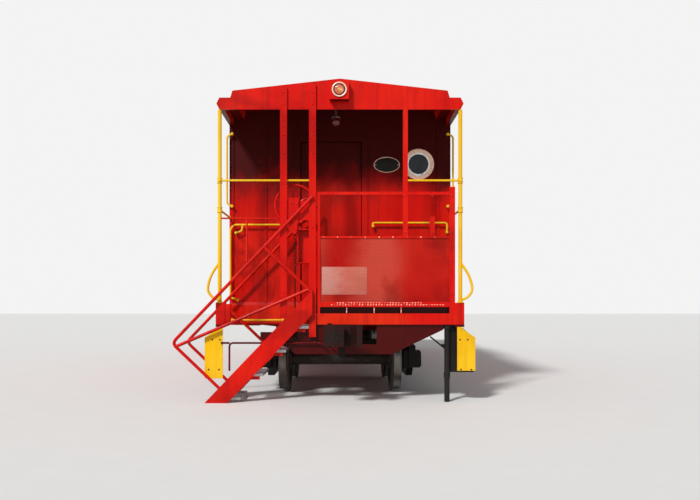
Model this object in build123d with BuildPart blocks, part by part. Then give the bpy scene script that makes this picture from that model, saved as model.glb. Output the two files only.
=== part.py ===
from build123d import *
import os
from math import asin, cos, pi, radians, sin

os.makedirs("parts", exist_ok=True)

# A steel bay-window caboose on two four-wheel trucks, with an access stair at its near end.
# Millimetres, +Z up, +Y along the track. The near end faces -Y. The origin lies on the
# rail tops, midway between the rails and at mid-length. The ends differ only at the
# stair, so a piece is drawn at the near end and repeated half a turn round.

# Body
deck_z = 1200
sill_length = 10500
platform_depth = 800
body_width = 2950
wall_t = 60
floor_t = 40
wall_top_z = 3554
rib_w = 30
rib_t = 15

# Roof section, from the wall top up to the peak
eave_out = 37
eave_z = 3627
gutter_z = 3700
shoulder_in = 134
shoulder_rise = 85
shoulder_run = 24
peak_z = 3932
fascia_t = 30

# Underframe
centre_sill_w = 330
centre_sill_z = 720
plate_t = 20
side_sill_w = 100
side_sill_z = 893
bolster_w = 300
bolster_z = 760
bearer_w = 120
bearer_z = 960
bearer_y = 1500
jack_pad = 200
jack_pad_z = 850
jack_pad_in = 175

# Platform ends
end_sill_t = 100
end_sill_z = 920
end_sill_top = 1060
end_sill_in = 67
open_side_x = -293
beam_t = 60
beam_z = 560
beam_tip_in = 140
beam_tip_z = 860
wing_x = 976
wing_z = (740, 830)
wing_drop = 100
wing_root_in = 80
corner_box_out = 45
corner_box_z = 895
corner_box_top = 1190
corner_box_d = 120

# Wheels, axles and trucks
truck_y = 3260
wheelbase = 1700
wheel_r = 419
flange_h = 25
wheel_w = 140
back_to_back = 1360
hub_r = 130
hub_out = 20
axle_r = 80
wheel_sides = 24
hub_sides = 12
ring_sides = 16
bore_sides = 8
journal_r = 70
journal_clear = 0.3
journal_x = 985
journal_l = 200
frame_t = 90
box_w = 220
box_h = 230
box_d = 230
lid_t = 14
lid_angle = 80
frame_over = 150
frame_z = (150, 735)
frame_end_z = (320, 600)
frame_crown_x = 400
frame_shoulder = (740, 610)
frame_belly_x = 480
frame_hole_in = 190
frame_hole_x = 350
frame_hole_z = (250, 650)
frame_hole_tip_z = (380, 540)
truck_bolster_w = 240
truck_bolster_t = 130
truck_bolster_z = 640
centre_plate_r = 150
centre_plate_h = 45
spring_seat_z = 230
spring_h = 220
spring_half = 220
spring_rise = 50
leaf_t = 12
leaf_count = 4
spring_eye_r = 14.4
window_half = 255
window_top = 650

# Doors
door_x = -120
door_w = 820
door_h = 2120
door_t = 40
door_sill = 20
door_gap = 8
casing_w = 80
casing_t = 15
casing_r = 90
hinge_r = 11
pin_r = 6
hinge_h = 60
hinge_levels = (1450, 3050)
handle_z = 2200
handle_l = 130
handle_out = 50
handle_t = 16

# Windows
side_window_w = 620
side_window_h = 760
side_window_z = 2550
side_window_y = 2900
frame_w = 40
frame_out = 15
pane_t = 8
bay_half = 1220
bay_out = 280
bay_t = 50
bay_low_z = 1350
bay_sill_z = 1600
bay_head_z = 3430
bay_top_z = 3530
bay_window_w = 760
bay_window_y = 520
bay_end_window_w = 130
porthole_x = 1045
porthole_z = 3035
porthole_r = 154
porthole_ring_r = 205
ring_t = 25

# Railings
stile_w = 85
stile_t = 30
stile_gap = 353
stile_top = (3820, 3860)
stile_foot = (1005, 773)
railing_t = 30
railing_z = 2548
top_rail_h = 38
corner_upright_w = 70
corner_upright_z = 2610
frame_bar = 25
frame_side = 30
frame_gap = 19
panel_low_z = 1139
panel_rail_z = 1200
panel_top_z = 1980
panel_t = 6
railing_post_x = 800
railing_post_w = 60
short_post_x = 1128
short_post_z = 2250
tab_xs = (82, 421, 750)
tab_w = 12

# Handrails and grab irons
pipe_r = 24
iron_r = 13
post_sides = 8
iron_out = 60
iron_in = 20
guard_r = 9
guard_z = 2225
guard_rod_in = 335
guard_rod_z = (1690, 1720)
post_gap = 1
level_rail_z = 2688
brace_rail_z = 2330
left_iron_z = (1230, 1260, 2170, 2225)
left_iron_foot = 100
left_iron_bend = 55
left_iron_end_x = -747
branch_iron_out = (165, 155, 75)
branch_iron_z = (2225, 2140, 2118)
right_iron_x = (440, 432)
right_iron_z = (2205, 2250, 2125)
right_iron_in = 36
side_iron_z = (3430, 3395, 2505, 2469)
side_iron_foot = 25
side_iron_out = 44
low_iron_z = 960
low_iron_end_x = -756

# Stair
stair_angle = 46.3
stringer_top_z = 1343
stair_far_y = 4620
stringer_h = 200
stringer_t = 60
tread_d = 230
tread_t = 35
tread_rise = 290
tread_count = 4
cleat = 40
cleat_t = 12
handrail_r = 20
handrail_h = 787
far_handrail_drop = 50
post_foot = 250
brace_rail_foot = 40
brace_rail_drop = 60
pole_in = 160
pole_r = 33
pole_brace_r = 10
pole_brace_in = 160
pole_brace_fall = 175

# Steps, from the deck's edge down to the lowest one
step_in_back = 225
step_spans = ((-225, -25), (-125, 75), (-42, 180))
step_z = (895, 640, 360)
step_t = 25
hanger_t = 10
hanger_x = 142
step_plate_top = 877
step_plate_t = 10
step_corner = 61
fold_relief = 5
wall_hanger_in = 75
step_plate_low = 360
stair_side_plate_low = 265
chamfer_drop = 112
flange_d = 40

# Brake gear
brake_x = -560
brake_wheel_z = 2410
brake_wheel_r = 243
rim_t = 28
brake_wheel_sides = 16
spoke_count = 5
wheel_set_in = 150
spoke_w = 22
link_l = 60
link_w = 36
wire = 9
link_gap = 0.3
gear_h = 440
gear_half = 60
gear_d = 120
gear_nose = 10
gear_heel = 40
stand_low = 170
stand_high = 30
tray_gap = 4
tray_d = 100
tray_z = (1676, 2090)
chain_x = -550
chain_top_z = 2030
chain_links = 9
low_chain_links = 3
low_chain_z = 905
rod_r = 8

# Couplers and uncoupling levers
coupler_z = 810
shank_w = 150
shank_h = 130
head_h = 250
shank_out = 300
shank_in = 900
yoke_in = 400
knuckle_pin_r = 24
knuckle_pin_out = 20
knuckle_pin_at = (-120, 470)
lift_x = (-20, 60)
lift_out = (400, 380)
lift_drop = 120
pocket_x = (-200, 450)
pocket_z = 680
lever_r = 12
lever_z = 700
lever_handle_z = 360
lever_in = 125
lever_bracket_in = 20
lever_run_x = -230
lever_tip_x = -40
lever_tip_out = (365, 400)
lever_tip_drop = 80
lever_bracket_x = (-330, -290)

# Lamps, stove pipe, tank and seats
lamp_x = -8
lamp_w = 232
lamp_h = 230
lamp_drop = 52
lamp_d = 110
bezel_r = 92.8
lens_r = 56
globe_r = 55
globe_z = 3440
globe_x = 50
globe_y = 4850
stem_r = 10
stack_x = 600
stack_y = 2000
stack_r = 75
stack_top_z = 4380
stack_t = 8
flue_rise = 500
cap_r = (120, 37.5)
cap_h = 20
cap_gap = 60
cap_leg_h = 100
cap_leg_t = 10
tank_r = 200
tank_l = 900
tank_y = 750
tank_in = 775
tank_drop = 60
tank_head = 40
tank_head_r = 100
strap_w = 40
strap_t = 6
seat_w = 480
seat_d = 500
seat_y = 1000
seat_z = 1650
cushion_h = 300
cushion_back = (110, 330)
seat_back_t = 50

# Values that follow from the sizes above
half_sill = sill_length / 2
half_body = half_sill - platform_depth
half_w = body_width / 2
floor_z = deck_z - floor_t
wall_in_y = half_body - wall_t
stand_z = -flange_h
front_y = -half_sill
sill_back_y = -(half_sill - end_sill_t)
deck_edge_y = -(half_sill - railing_t)
end_sill_x = half_w - end_sill_in
beam_tip_x = end_sill_x - beam_tip_in
beam_flat_x = beam_tip_x / 2
corner_box_x = half_w + corner_box_out
step_in_x = half_w - step_in_back
step_edge_x = half_w + step_spans[2][0]
step_out_x = half_w + step_spans[2][1]
stile_x = (open_side_x - stile_w / 2 - stile_gap, open_side_x - stile_w / 2)
wheel_x = back_to_back / 2
pole_x = half_w - pole_in
lamp_z = (peak_z - lamp_drop - lamp_h, peak_z - lamp_drop)
tank_x = tank_in - half_w
pin_flat_r = pin_r * cos(pi / bore_sides)
door_top_z = deck_z + door_sill + door_h
hinge_x = door_x + door_w / 2
hinge_y = -(wall_in_y - pin_r - door_gap)


def outline(points):
    """Closed polygon face through the points, in its own plane."""
    with BuildSketch() as sketch:
        with BuildLine():
            Polyline(*points, close=True)
        make_face()
    return sketch.sketch


def rectangle(x, z):
    """Rectangle face between two corners, in its own plane."""
    return outline([(x[0], z[0]), (x[1], z[0]), (x[1], z[1]), (x[0], z[1])])


def block(x, y, z):
    """Box between two corners."""
    with BuildPart() as box:
        with BuildSketch(Plane.XY.offset(z[0])):
            add(rectangle(x, y))
        extrude(amount=z[1] - z[0])
    return box.part


def plate(points, y, thickness):
    """Flat plate through the points in side view, from y towards the far end."""
    with BuildPart() as sheet:
        with BuildSketch(Plane.XZ.offset(-y)):
            add(outline(points))
        extrude(amount=-thickness)
    return sheet.part


def pipe(points, radius, sides=6):
    """Flat-sided bar along straight runs with mitred corners."""
    with BuildPart() as bar:
        with BuildLine() as path:
            Polyline(*points)
        with BuildSketch(Plane(origin=path.line @ 0, z_dir=path.line % 0)):
            RegularPolygon(radius, sides, major_radius=False, rotation=90 - 180 / sides)
        sweep(transition=Transition.RIGHT)
    return bar.part


def faceted(sections, plane, sides):
    """Solid with flat sides through sections of (distance along the plane's normal, radius)."""
    half_step = pi / sides
    rings = []
    for distance, radius in sections:
        spoke = radius / cos(half_step)
        angles = [half_step * (2 * i + 1) for i in range(sides)]
        ring = [(spoke * cos(angle), spoke * sin(angle), distance) for angle in angles]
        rings.append([plane.from_local_coords(point) for point in ring])
    faces = [Face(Wire.make_polygon(ring)) for ring in (rings[0], rings[-1])]
    for low, high in zip(rings, rings[1:]):
        for i in range(sides):
            faces.append(Face(Wire.make_polygon([low[i - 1], low[i], high[i], high[i - 1]])))
    return Solid(Shell(faces))


def facing(x, y, z):
    """Plane at the point whose normal faces the near end."""
    return Plane(origin=(x, y, z), x_dir=(1, 0, 0), z_dir=(0, -1, 0))


def turned(part):
    """The same piece at the far end, half a turn about the middle."""
    return part.rotate(Axis.Z, 180)


def roof_outline(inset):
    """Roof's cross-section above the wall top, moved inwards by the inset."""
    edge = half_w - inset
    brow_z = gutter_z - inset
    brow_x = half_w - shoulder_in - inset
    eave = [(half_w + eave_out, eave_z), (half_w, gutter_z)] if inset == 0 else [(edge, brow_z)]
    side = [(edge, wall_top_z)] + eave
    side = side + [(brow_x, brow_z), (brow_x - shoulder_run, brow_z + shoulder_rise)]
    return side + [(0, peak_z - inset)] + [(-x, z) for x, z in reversed(side)]


# Underframe: box centre sill, two channel side sills, tapered bolsters and cross-bearers,
# welded as one piece. A round plate under each bolster turns on the truck, and a jack pad
# hangs at each bolster's end.
with BuildPart() as underframe:
    sill_section = (-centre_sill_w / 2, centre_sill_w / 2), (centre_sill_z, floor_z)
    with BuildSketch(Plane.XZ.offset(-sill_back_y)):
        add(rectangle(*sill_section))
    extrude(amount=2 * sill_back_y)
    with BuildSketch(Plane.XZ.offset(half_body - plate_t)):
        for side in (-1, 1):
            add(rectangle((side * (half_w - side_sill_w), side * half_w), (side_sill_z, floor_z)))
            add(rectangle((side * (half_w - side_sill_w), side * (half_w - plate_t)),
                          (side_sill_z + plate_t, floor_z - plate_t)), mode=Mode.SUBTRACT)
    extrude(amount=-2 * (half_body - plate_t))
    # Columns: place along the car, width, lowest level at the centre sill
    cross_members = [(truck_y, bolster_w, bolster_z), (bearer_y, bearer_w, bearer_z), (0, bearer_w, bearer_z)]
    for y, width, low_z in cross_members:
        tapered = [
            (-half_w, floor_z), (half_w, floor_z), (half_w, max(low_z, side_sill_z)),
            (centre_sill_w / 2, low_z), (-centre_sill_w / 2, low_z), (-half_w, max(low_z, side_sill_z)),
        ]
        for end in (-1, 1):
            add(plate(tapered, end * y - width / 2, width))
    pad_x = half_w - jack_pad_in
    for end in (-1, 1):
        for side in (-1, 1):
            add(block((side * pad_x - jack_pad / 2, side * pad_x + jack_pad / 2),
                      (end * truck_y - jack_pad / 2, end * truck_y + jack_pad / 2),
                      (jack_pad_z, side_sill_z)))
        add(faceted([(0, centre_plate_r), (centre_plate_h, centre_plate_r)],
                    Plane(origin=(0, end * truck_y, centre_sill_z - centre_plate_h)), ring_sides))
    with BuildSketch(Plane.XZ.offset(-sill_back_y)):
        add(rectangle((plate_t - centre_sill_w / 2, centre_sill_w / 2 - plate_t),
                      (centre_sill_z + plate_t, floor_z - plate_t)))
    extrude(amount=2 * sill_back_y, mode=Mode.SUBTRACT)

# Floor: the cabin floor between the walls and a deck over each platform, open at the
# step wells and, at the near end, on the stair's side.
with BuildPart() as floor_plates:
    add(block((open_side_x, end_sill_x), (deck_edge_y, sill_back_y), (floor_z, deck_z)))
    add(block((open_side_x, step_in_x), (sill_back_y, -half_body), (floor_z, deck_z)))
    add(turned(floor_plates.part))
    add(turned(block((-end_sill_x, open_side_x), (deck_edge_y, sill_back_y), (floor_z, deck_z))))
    add(turned(block((-step_in_x, open_side_x), (sill_back_y, -half_body), (floor_z, deck_z))))
    add(block((-half_w, half_w), (-half_body, half_body), (floor_z, deck_z)))

# End sills: a cross beam with a web up to the deck, a tapered beam below it with a pocket
# for the coupler, a corner box at each side and a cross plate across the body's end. The
# near beam's left wing stays under the stair.
with BuildPart() as end_sills:
    web_x = frame_gap + frame_side
    add(block((open_side_x, end_sill_x), (front_y, sill_back_y), (end_sill_z, end_sill_top)))
    add(block((open_side_x, end_sill_x), (sill_back_y - plate_t, sill_back_y), (end_sill_top, floor_z)))
    for x in ((open_side_x, open_side_x + web_x), (end_sill_x - corner_upright_w, end_sill_x)):
        add(block(x, (deck_edge_y, sill_back_y), (end_sill_top, floor_z)))
    for side in (-1, 1):
        add(block(sorted((side * end_sill_x, side * corner_box_x)), (front_y, front_y + corner_box_d),
                  (corner_box_z, corner_box_top)))
    add(block((-half_w, half_w), (-half_body, -half_body + plate_t), (side_sill_z, floor_z)))
    add(block((-centre_sill_w / 2, centre_sill_w / 2), (-half_body, -half_body + plate_t),
              (side_sill_z, floor_z)), mode=Mode.SUBTRACT)
    add(turned(end_sills.part))
    add(turned(block((-end_sill_x, open_side_x), (front_y, sill_back_y), (end_sill_z, end_sill_top))))
    add(turned(block((-end_sill_x, open_side_x), (sill_back_y - plate_t, sill_back_y),
                     (end_sill_top, floor_z))))
    right_beam = [(beam_tip_x, end_sill_z), (beam_tip_x, beam_tip_z), (beam_flat_x, beam_z)]
    near_wing = [(-beam_flat_x, wing_z[0] - wing_drop), (-wing_x, wing_z[0]), (-wing_x, wing_z[1]),
                 (open_side_x, wing_z[1]), (open_side_x, end_sill_z)]
    near_beam = right_beam + [(wing_root_in - beam_flat_x, beam_z)] + near_wing
    far_beam = right_beam + [(-x, z) for x, z in reversed(right_beam)]
    add(plate(near_beam, deck_edge_y, beam_t))
    add(turned(plate(far_beam, deck_edge_y, beam_t)))
    pocket = block(pocket_x, (deck_edge_y, deck_edge_y + beam_t), (pocket_z, end_sill_z))
    add(pocket, mode=Mode.SUBTRACT)
    add(turned(pocket), mode=Mode.SUBTRACT)

# Side walls, each with two windows and the opening behind its bay
with BuildPart() as side_wall_right:
    with BuildSketch(Plane.YZ.offset(half_w)):
        add(rectangle((-wall_in_y, wall_in_y), (deck_z, wall_top_z)))
        with Locations((-side_window_y, side_window_z), (side_window_y, side_window_z)):
            Rectangle(side_window_w, side_window_h, mode=Mode.SUBTRACT)
        add(rectangle((bay_t - bay_half, bay_half - bay_t), (bay_low_z + bay_t, bay_top_z - bay_t)),
            mode=Mode.SUBTRACT)
    extrude(amount=-wall_t)

with BuildPart() as side_wall_left:
    add(side_wall_right.part.mirror(Plane.YZ))

# Bays: a shell on each side with a sloped foot and head, open to the cabin
with BuildPart() as bay_right:
    bay_section = [(half_w, bay_low_z), (half_w + bay_out, bay_sill_z),
                   (half_w + bay_out, bay_head_z), (half_w, bay_top_z)]
    add(plate(bay_section, -bay_half, 2 * bay_half))
    offset(amount=-bay_t, openings=bay_right.faces().sort_by(Axis.X)[0])
    with BuildSketch(Plane.YZ.offset(half_w + bay_out)):
        with Locations((-bay_window_y, side_window_z), (bay_window_y, side_window_z)):
            Rectangle(bay_window_w, side_window_h)
    extrude(amount=-bay_t, mode=Mode.SUBTRACT)
    with BuildSketch(Plane.XZ.offset(bay_half)):
        with Locations((half_w + bay_out / 2, side_window_z)):
            Rectangle(bay_end_window_w, side_window_h)
    extrude(amount=-2 * bay_half, mode=Mode.SUBTRACT)

with BuildPart() as bay_left:
    add(bay_right.part.mirror(Plane.YZ))

# End walls: full width and up into the roof, with a doorway in a raised casing, a
# porthole, upright ribs and the lower halves of the door's hinges with their pins
with BuildPart() as end_wall_near:
    with BuildSketch(Plane.XZ.offset(half_body)):
        add(rectangle((-half_w, half_w), (deck_z, wall_top_z)))
        add(outline(roof_outline(wall_t)))
    extrude(amount=-wall_t)
    with BuildSketch(Plane.XZ.offset(half_body)):
        # Columns: side of the wall, distance of the rib from it
        for side, inset in ((-1, 45), (-1, 485), (1, 165)):
            with Locations((side * (half_w - inset), (deck_z + wall_top_z) / 2)):
                Rectangle(rib_w, wall_top_z - deck_z)
    extrude(amount=rib_t)
    with BuildSketch(Plane.XZ.offset(half_body)) as casing:
        add(rectangle((door_x - door_w / 2 - casing_w, door_x + door_w / 2 + casing_w),
                      (deck_z, door_top_z + casing_w)))
        fillet(casing.vertices().group_by(Axis.Z)[-1], radius=casing_r)
    extrude(amount=casing_t)
    with BuildSketch(Plane.XZ.offset(half_body + casing_t)):
        add(rectangle((door_x - door_w / 2, door_x + door_w / 2), (deck_z + door_sill, door_top_z)))
        with Locations((porthole_x, porthole_z)):
            RegularPolygon(porthole_r, ring_sides)
    extrude(amount=-wall_t - casing_t, mode=Mode.SUBTRACT)
    for z in hinge_levels:
        add(block((hinge_x, hinge_x + hinge_h), (-wall_in_y, hinge_y), (z - hinge_h, z)))
        add(faceted([(0, hinge_r), (hinge_h, hinge_r)],
                    Plane(origin=(hinge_x, hinge_y, z - hinge_h)), bore_sides))
        add(faceted([(0, pin_flat_r), (hinge_h - door_gap, pin_flat_r)],
                    Plane(origin=(hinge_x, hinge_y, z)), bore_sides))

with BuildPart() as end_wall_far:
    add(turned(end_wall_near.part))

# Roof: one shell over the cabin and both platforms, with a closing fascia at each end
with BuildPart() as roof:
    with BuildSketch(Plane.XZ.offset(half_sill - fascia_t)):
        add(outline(roof_outline(0)))
        add(outline(roof_outline(wall_t)), mode=Mode.SUBTRACT)
    extrude(amount=-2 * (half_sill - fascia_t))
    add(faceted([(0, stack_r), (peak_z, stack_r)], Plane(origin=(stack_x, stack_y, wall_top_z)), ring_sides),
        mode=Mode.SUBTRACT)

with BuildPart() as roof_fascias:
    add(plate(roof_outline(0), front_y, fascia_t))
    add(turned(roof_fascias.part))

# Wheelsets: an axle with a flanged and dished wheel pressed on at each side and a turned
# journal beyond each wheel
with BuildPart() as wheel_and_axle:
    # Columns: distance out from the wheel's back face, radius
    tread = [(0, wheel_r + flange_h), (36, wheel_r + 1), (wheel_w, wheel_r - 5)]
    dish = [(wheel_w, wheel_r - 65), (60, wheel_r - 85)]
    hub = [(-hub_out, hub_r), (wheel_w + hub_out, hub_r)]
    for side in (-1, 1):
        wheel_plane = Plane(origin=(side * wheel_x, 0, 0), x_dir=(0, 0, 1), z_dir=(side, 0, 0))
        add(faceted(tread, wheel_plane, wheel_sides))
        add(faceted(dish, wheel_plane, hub_sides), mode=Mode.SUBTRACT)
        add(faceted(hub, wheel_plane, hub_sides))
        with BuildSketch(wheel_plane.offset(wheel_w + hub_out)):
            Circle(journal_r)
        extrude(amount=journal_x + journal_l / 2 - wheel_x - wheel_w - hub_out)
    add(faceted([(-wheel_x, axle_r), (wheel_x, axle_r)], Plane.YZ, hub_sides))

wheelsets = []
for end in (-1, 1):
    for row in (-1, 1):
        with BuildPart() as wheelset:
            with Locations((0, end * truck_y + row * wheelbase / 2, wheel_r)):
                add(wheel_and_axle)
        wheelsets.append(wheelset)
wheelset_1, wheelset_2, wheelset_3, wheelset_4 = wheelsets

# Truck side frames: cast frames with a spring window, two side windows and journal boxes
# whose lids face outwards
with BuildPart() as side_frames:
    frame_end = wheelbase / 2 + frame_over
    # Half a frame in side view: distance from the truck's middle, level
    rim = [(0, frame_z[1]), (frame_crown_x, frame_z[1]), frame_shoulder, (frame_end, frame_end_z[1]),
           (frame_end, frame_end_z[0]), (wheelbase / 2 - frame_over, frame_end_z[0]),
           (frame_belly_x, frame_z[0]), (0, frame_z[0])]
    hole_tip = wheelbase / 2 - frame_hole_in
    side_window = [(hole_tip, frame_hole_tip_z[1]), (frame_hole_x, frame_hole_z[1]),
                   (frame_hole_x, frame_hole_z[0]), (hole_tip, frame_hole_tip_z[0])]
    with BuildSketch(Plane.YZ.offset(journal_x - frame_t / 2)):
        add(outline(rim))
        add(outline(side_window), mode=Mode.SUBTRACT)
        mirror(about=Plane.YZ)
        add(rectangle((-window_half, window_half), (spring_seat_z, window_top)), mode=Mode.SUBTRACT)
    extrude(amount=frame_t)
    for row in (-1, 1):
        axle_y = row * wheelbase / 2
        with BuildSketch(Plane.YZ.offset(journal_x - box_d / 2)):
            with Locations((axle_y, wheel_r)):
                Rectangle(box_w, box_h)
        extrude(amount=box_d)
        with BuildSketch(Plane.YZ.offset(journal_x + box_d / 2)):
            with Locations((axle_y, wheel_r)):
                Trapezoid(box_w - frame_w, box_h - frame_w, lid_angle)
        extrude(amount=lid_t)
        with BuildSketch(Plane.YZ.offset(journal_x - box_d / 2)):
            with Locations((axle_y, wheel_r)):
                RegularPolygon(journal_r + journal_clear, bore_sides, major_radius=False)
        extrude(amount=box_d / 2 + journal_l / 2 + journal_clear, mode=Mode.SUBTRACT)
    mirror(about=Plane.YZ)

# Truck bolster on two elliptic leaf springs that stand in the frame windows. A spring has
# two packs of arched leaves, each leaf shorter than the one inside it, that meet in an
# eye at each end and are clasped by a band at their middles.
arch_r = (spring_half ** 2 + spring_rise ** 2) / (2 * spring_rise)
leaf_bend = asin(spring_half / arch_r) / leaf_count


def leaf(radius, bends):
    """Arched leaf that bends so many times on each side of its middle, from the radius out."""
    angles = [leaf_bend * i for i in range(-bends, bends + 1)]
    low = [(radius * sin(angle), spring_rise - arch_r + radius * cos(angle)) for angle in angles]
    out = radius + leaf_t
    high = [(out * sin(angle), spring_rise - arch_r + out * cos(angle)) for angle in angles]
    return outline(low + high[::-1])


with BuildPart() as bolster_and_springs:
    spring_mid = spring_seat_z + spring_h / 2
    spring_top = spring_seat_z + spring_h
    with BuildSketch(Plane.YZ.offset(journal_x - frame_t / 2)):
        for turn in (0, 180):
            with Locations(Location((0, spring_mid), turn)):
                for i in range(leaf_count):
                    add(leaf(arch_r + leaf_t * i, leaf_count - i))
                with Locations((0, (spring_rise + spring_h / 2) / 2)):
                    Rectangle(frame_side * 2, spring_h / 2 - spring_rise)
        with Locations((-spring_half, spring_mid), (spring_half, spring_mid)):
            RegularPolygon(spring_eye_r, bore_sides)
    extrude(amount=frame_t)
    mirror(about=Plane.YZ)
    bolster_half = journal_x + frame_t / 2 + leaf_t
    bolster_side = [(-bolster_half, spring_top), (bolster_half, spring_top),
                    (bolster_half, spring_top + truck_bolster_t), (journal_x / 2, truck_bolster_z),
                    (-journal_x / 2, truck_bolster_z), (-bolster_half, spring_top + truck_bolster_t)]
    add(plate(bolster_side, -truck_bolster_w / 2, truck_bolster_w))
    centre_plate_rise = centre_sill_z - centre_plate_h - truck_bolster_z - journal_clear
    add(faceted([(0, centre_plate_r), (centre_plate_rise, centre_plate_r)],
                Plane.XY.offset(truck_bolster_z), ring_sides))

trucks = []
for end in (-1, 1):
    for form in (side_frames, bolster_and_springs):
        with BuildPart() as placed:
            with Locations((0, end * truck_y, 0)):
                add(form)
        trucks.append(placed)
truck_frames_near, truck_bolster_near, truck_frames_far, truck_bolster_far = trucks

# Doors: a flush leaf with a lever handle on each face, hung on lift-off hinges and opening
# inwards
with BuildPart() as door_near:
    leaf_back = -wall_in_y
    add(block((door_x - door_w / 2 + door_gap, door_x + door_w / 2 - door_gap),
              (leaf_back - door_t, leaf_back), (deck_z + door_sill + door_gap, door_top_z - door_gap)))
    handle_x = door_x - door_w / 2 + casing_w
    front_side = (leaf_back - door_t - handle_out, leaf_back - door_t)
    for y0, y1 in (front_side, (leaf_back, leaf_back + handle_out)):
        bar_y = (y0, y0 + handle_t) if y0 < leaf_back - door_t else (y1 - handle_t, y1)
        level = (handle_z, handle_z + handle_t)
        add(block((handle_x - handle_t / 2, handle_x + handle_t / 2), (y0, y1), level))
        add(block((handle_x - handle_t / 2, handle_x + handle_l), bar_y, level))
    for z in hinge_levels:
        add(block((hinge_x - hinge_h, hinge_x), (leaf_back, hinge_y), (z + journal_clear, z + hinge_h)))
        add(faceted([(0, hinge_r), (hinge_h - journal_clear, hinge_r)],
                    Plane(origin=(hinge_x, hinge_y, z + journal_clear)), bore_sides))
        add(faceted([(0, pin_r + journal_clear), (hinge_h, pin_r + journal_clear)],
                    Plane(origin=(hinge_x, hinge_y, z)), bore_sides), mode=Mode.SUBTRACT)

with BuildPart() as door_far:
    add(turned(door_near.part))

# Window frames and porthole rings, with their panes
# Columns: outer face of the wall, its thickness, window's place, window's width
windows = [
    (half_w, wall_t, side_window_y, side_window_w),
    (half_w + bay_out, bay_t, bay_window_y, bay_window_w),
]
with BuildPart() as window_frames:
    for face_x, depth, place, width in windows:
        with BuildSketch(Plane.YZ.offset(face_x - depth)):
            with Locations((-place, side_window_z), (place, side_window_z)):
                Rectangle(width, side_window_h)
                Rectangle(width - 2 * frame_w, side_window_h - 2 * frame_w, mode=Mode.SUBTRACT)
        extrude(amount=depth + frame_out)
    mirror(about=Plane.YZ)
    with BuildSketch(Plane.XZ.offset(half_body)):
        with Locations((porthole_x, porthole_z)):
            RegularPolygon(porthole_ring_r, ring_sides)
            RegularPolygon(porthole_r - frame_w / 2, ring_sides, mode=Mode.SUBTRACT)
    extrude(amount=ring_t)
    add(turned(window_frames.part.solids().sort_by(Axis.Y)[0]))

with BuildPart() as window_panes:
    for face_x, depth, place, width in windows:
        with BuildSketch(Plane.YZ.offset(face_x - depth / 2)):
            with Locations((-place, side_window_z), (place, side_window_z)):
                Rectangle(width - 2 * frame_w, side_window_h - 2 * frame_w)
        extrude(amount=pane_t)
    mirror(about=Plane.YZ)
    glass = facing(porthole_x, pane_t - half_body, porthole_z)
    add(faceted([(0, porthole_r - pane_t), (pane_t, porthole_r - pane_t)], glass, ring_sides))
    add(turned(window_panes.part.solids().sort_by(Axis.Y)[0]))

# End railings: two stiles up the front of the fascia, then, in the plane behind them, the
# top rail, the uprights and the frame of the mesh panel on its tabs. The far railing goes
# on to the other side, and the near one has a guard rod over the stair instead.
with BuildPart() as end_railings:
    # Columns: left, right, bottom, top
    upright_x = (end_sill_x - corner_upright_w, end_sill_x)
    side_bars = [
        (railing_post_x - railing_post_w / 2, railing_post_x + railing_post_w / 2, panel_top_z, wall_top_z),
        (upright_x[0], upright_x[1], end_sill_top, corner_upright_z),
        (short_post_x - frame_side, short_post_x + frame_side, panel_top_z, short_post_z),
        (stile_x[1], end_sill_x, railing_z - top_rail_h, railing_z),
        (stile_x[1], end_sill_x, panel_top_z, panel_top_z + frame_bar),
        (open_side_x + frame_gap, end_sill_x, panel_low_z, panel_rail_z),
        (open_side_x + frame_gap, open_side_x + frame_gap + frame_side, end_sill_top, railing_z),
    ]
    tabs = [(x - tab_w / 2, x + tab_w / 2, end_sill_top, panel_low_z) for x in tab_xs]
    with BuildSketch(Plane.XZ.offset(half_sill)):
        for x0, x1, z0, z1 in side_bars + tabs:
            add(rectangle((x0, x1), (z0, z1)))
    extrude(amount=-railing_t)
    with BuildSketch(Plane.XZ.offset(half_sill)):
        for x, foot, top in zip(stile_x, stile_foot, stile_top):
            add(rectangle((x - stile_w / 2, x + stile_w / 2), (foot, top)))
    extrude(amount=stile_t)
    add(turned(end_railings.part))
    inner_x = stile_x[0] - stile_w / 2 - frame_gap
    with BuildSketch(Plane.XZ.offset(half_sill)) as far_side:
        for x0, x1, z0, z1 in side_bars[1:-1]:
            add(rectangle((-x1, min(stile_x[0], -x0)), (z0, z1)))
        add(rectangle((inner_x - frame_side, inner_x), (end_sill_top, railing_z)))
    add(turned(extrude(far_side.sketch, amount=-railing_t, mode=Mode.PRIVATE)))
    guard_y = front_y + guard_r
    stair_rail_y = front_y - stile_t - stringer_t / 2 + handrail_r
    # Columns: distance from the stile, fall below the rod's level
    rod_end = [(stile_x[0] - away, guard_y, guard_z - fall) for away, fall in ((90, 8), (30, 80))]
    add(pipe([(-half_w + pipe_r, guard_y, guard_z)] + rod_end, guard_r))
    guard_rod_x = guard_rod_in - half_w
    add(pipe([(guard_rod_x, guard_y, guard_z), (guard_rod_x, guard_y, guard_rod_z[1]),
              (guard_rod_x, stair_rail_y, guard_rod_z[0])], guard_r))

with BuildPart() as mesh_panels:
    panel_y = front_y + (railing_t - panel_t) / 2
    add(block((open_side_x + frame_gap + frame_side, end_sill_x - corner_upright_w),
              (panel_y, panel_y + panel_t), (panel_rail_z, panel_top_z)))
    add(turned(mesh_panels.part))
    add(turned(block((corner_upright_w - end_sill_x, inner_x - frame_side),
                     (panel_y, panel_y + panel_t), (panel_rail_z, panel_top_z))))

# Yellow corner posts, each braced to the body's corner and bowed outwards at its foot,
# with one level rail from each to the railing
post_y = front_y + pipe_r + post_gap
rail_y = front_y + iron_r
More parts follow.
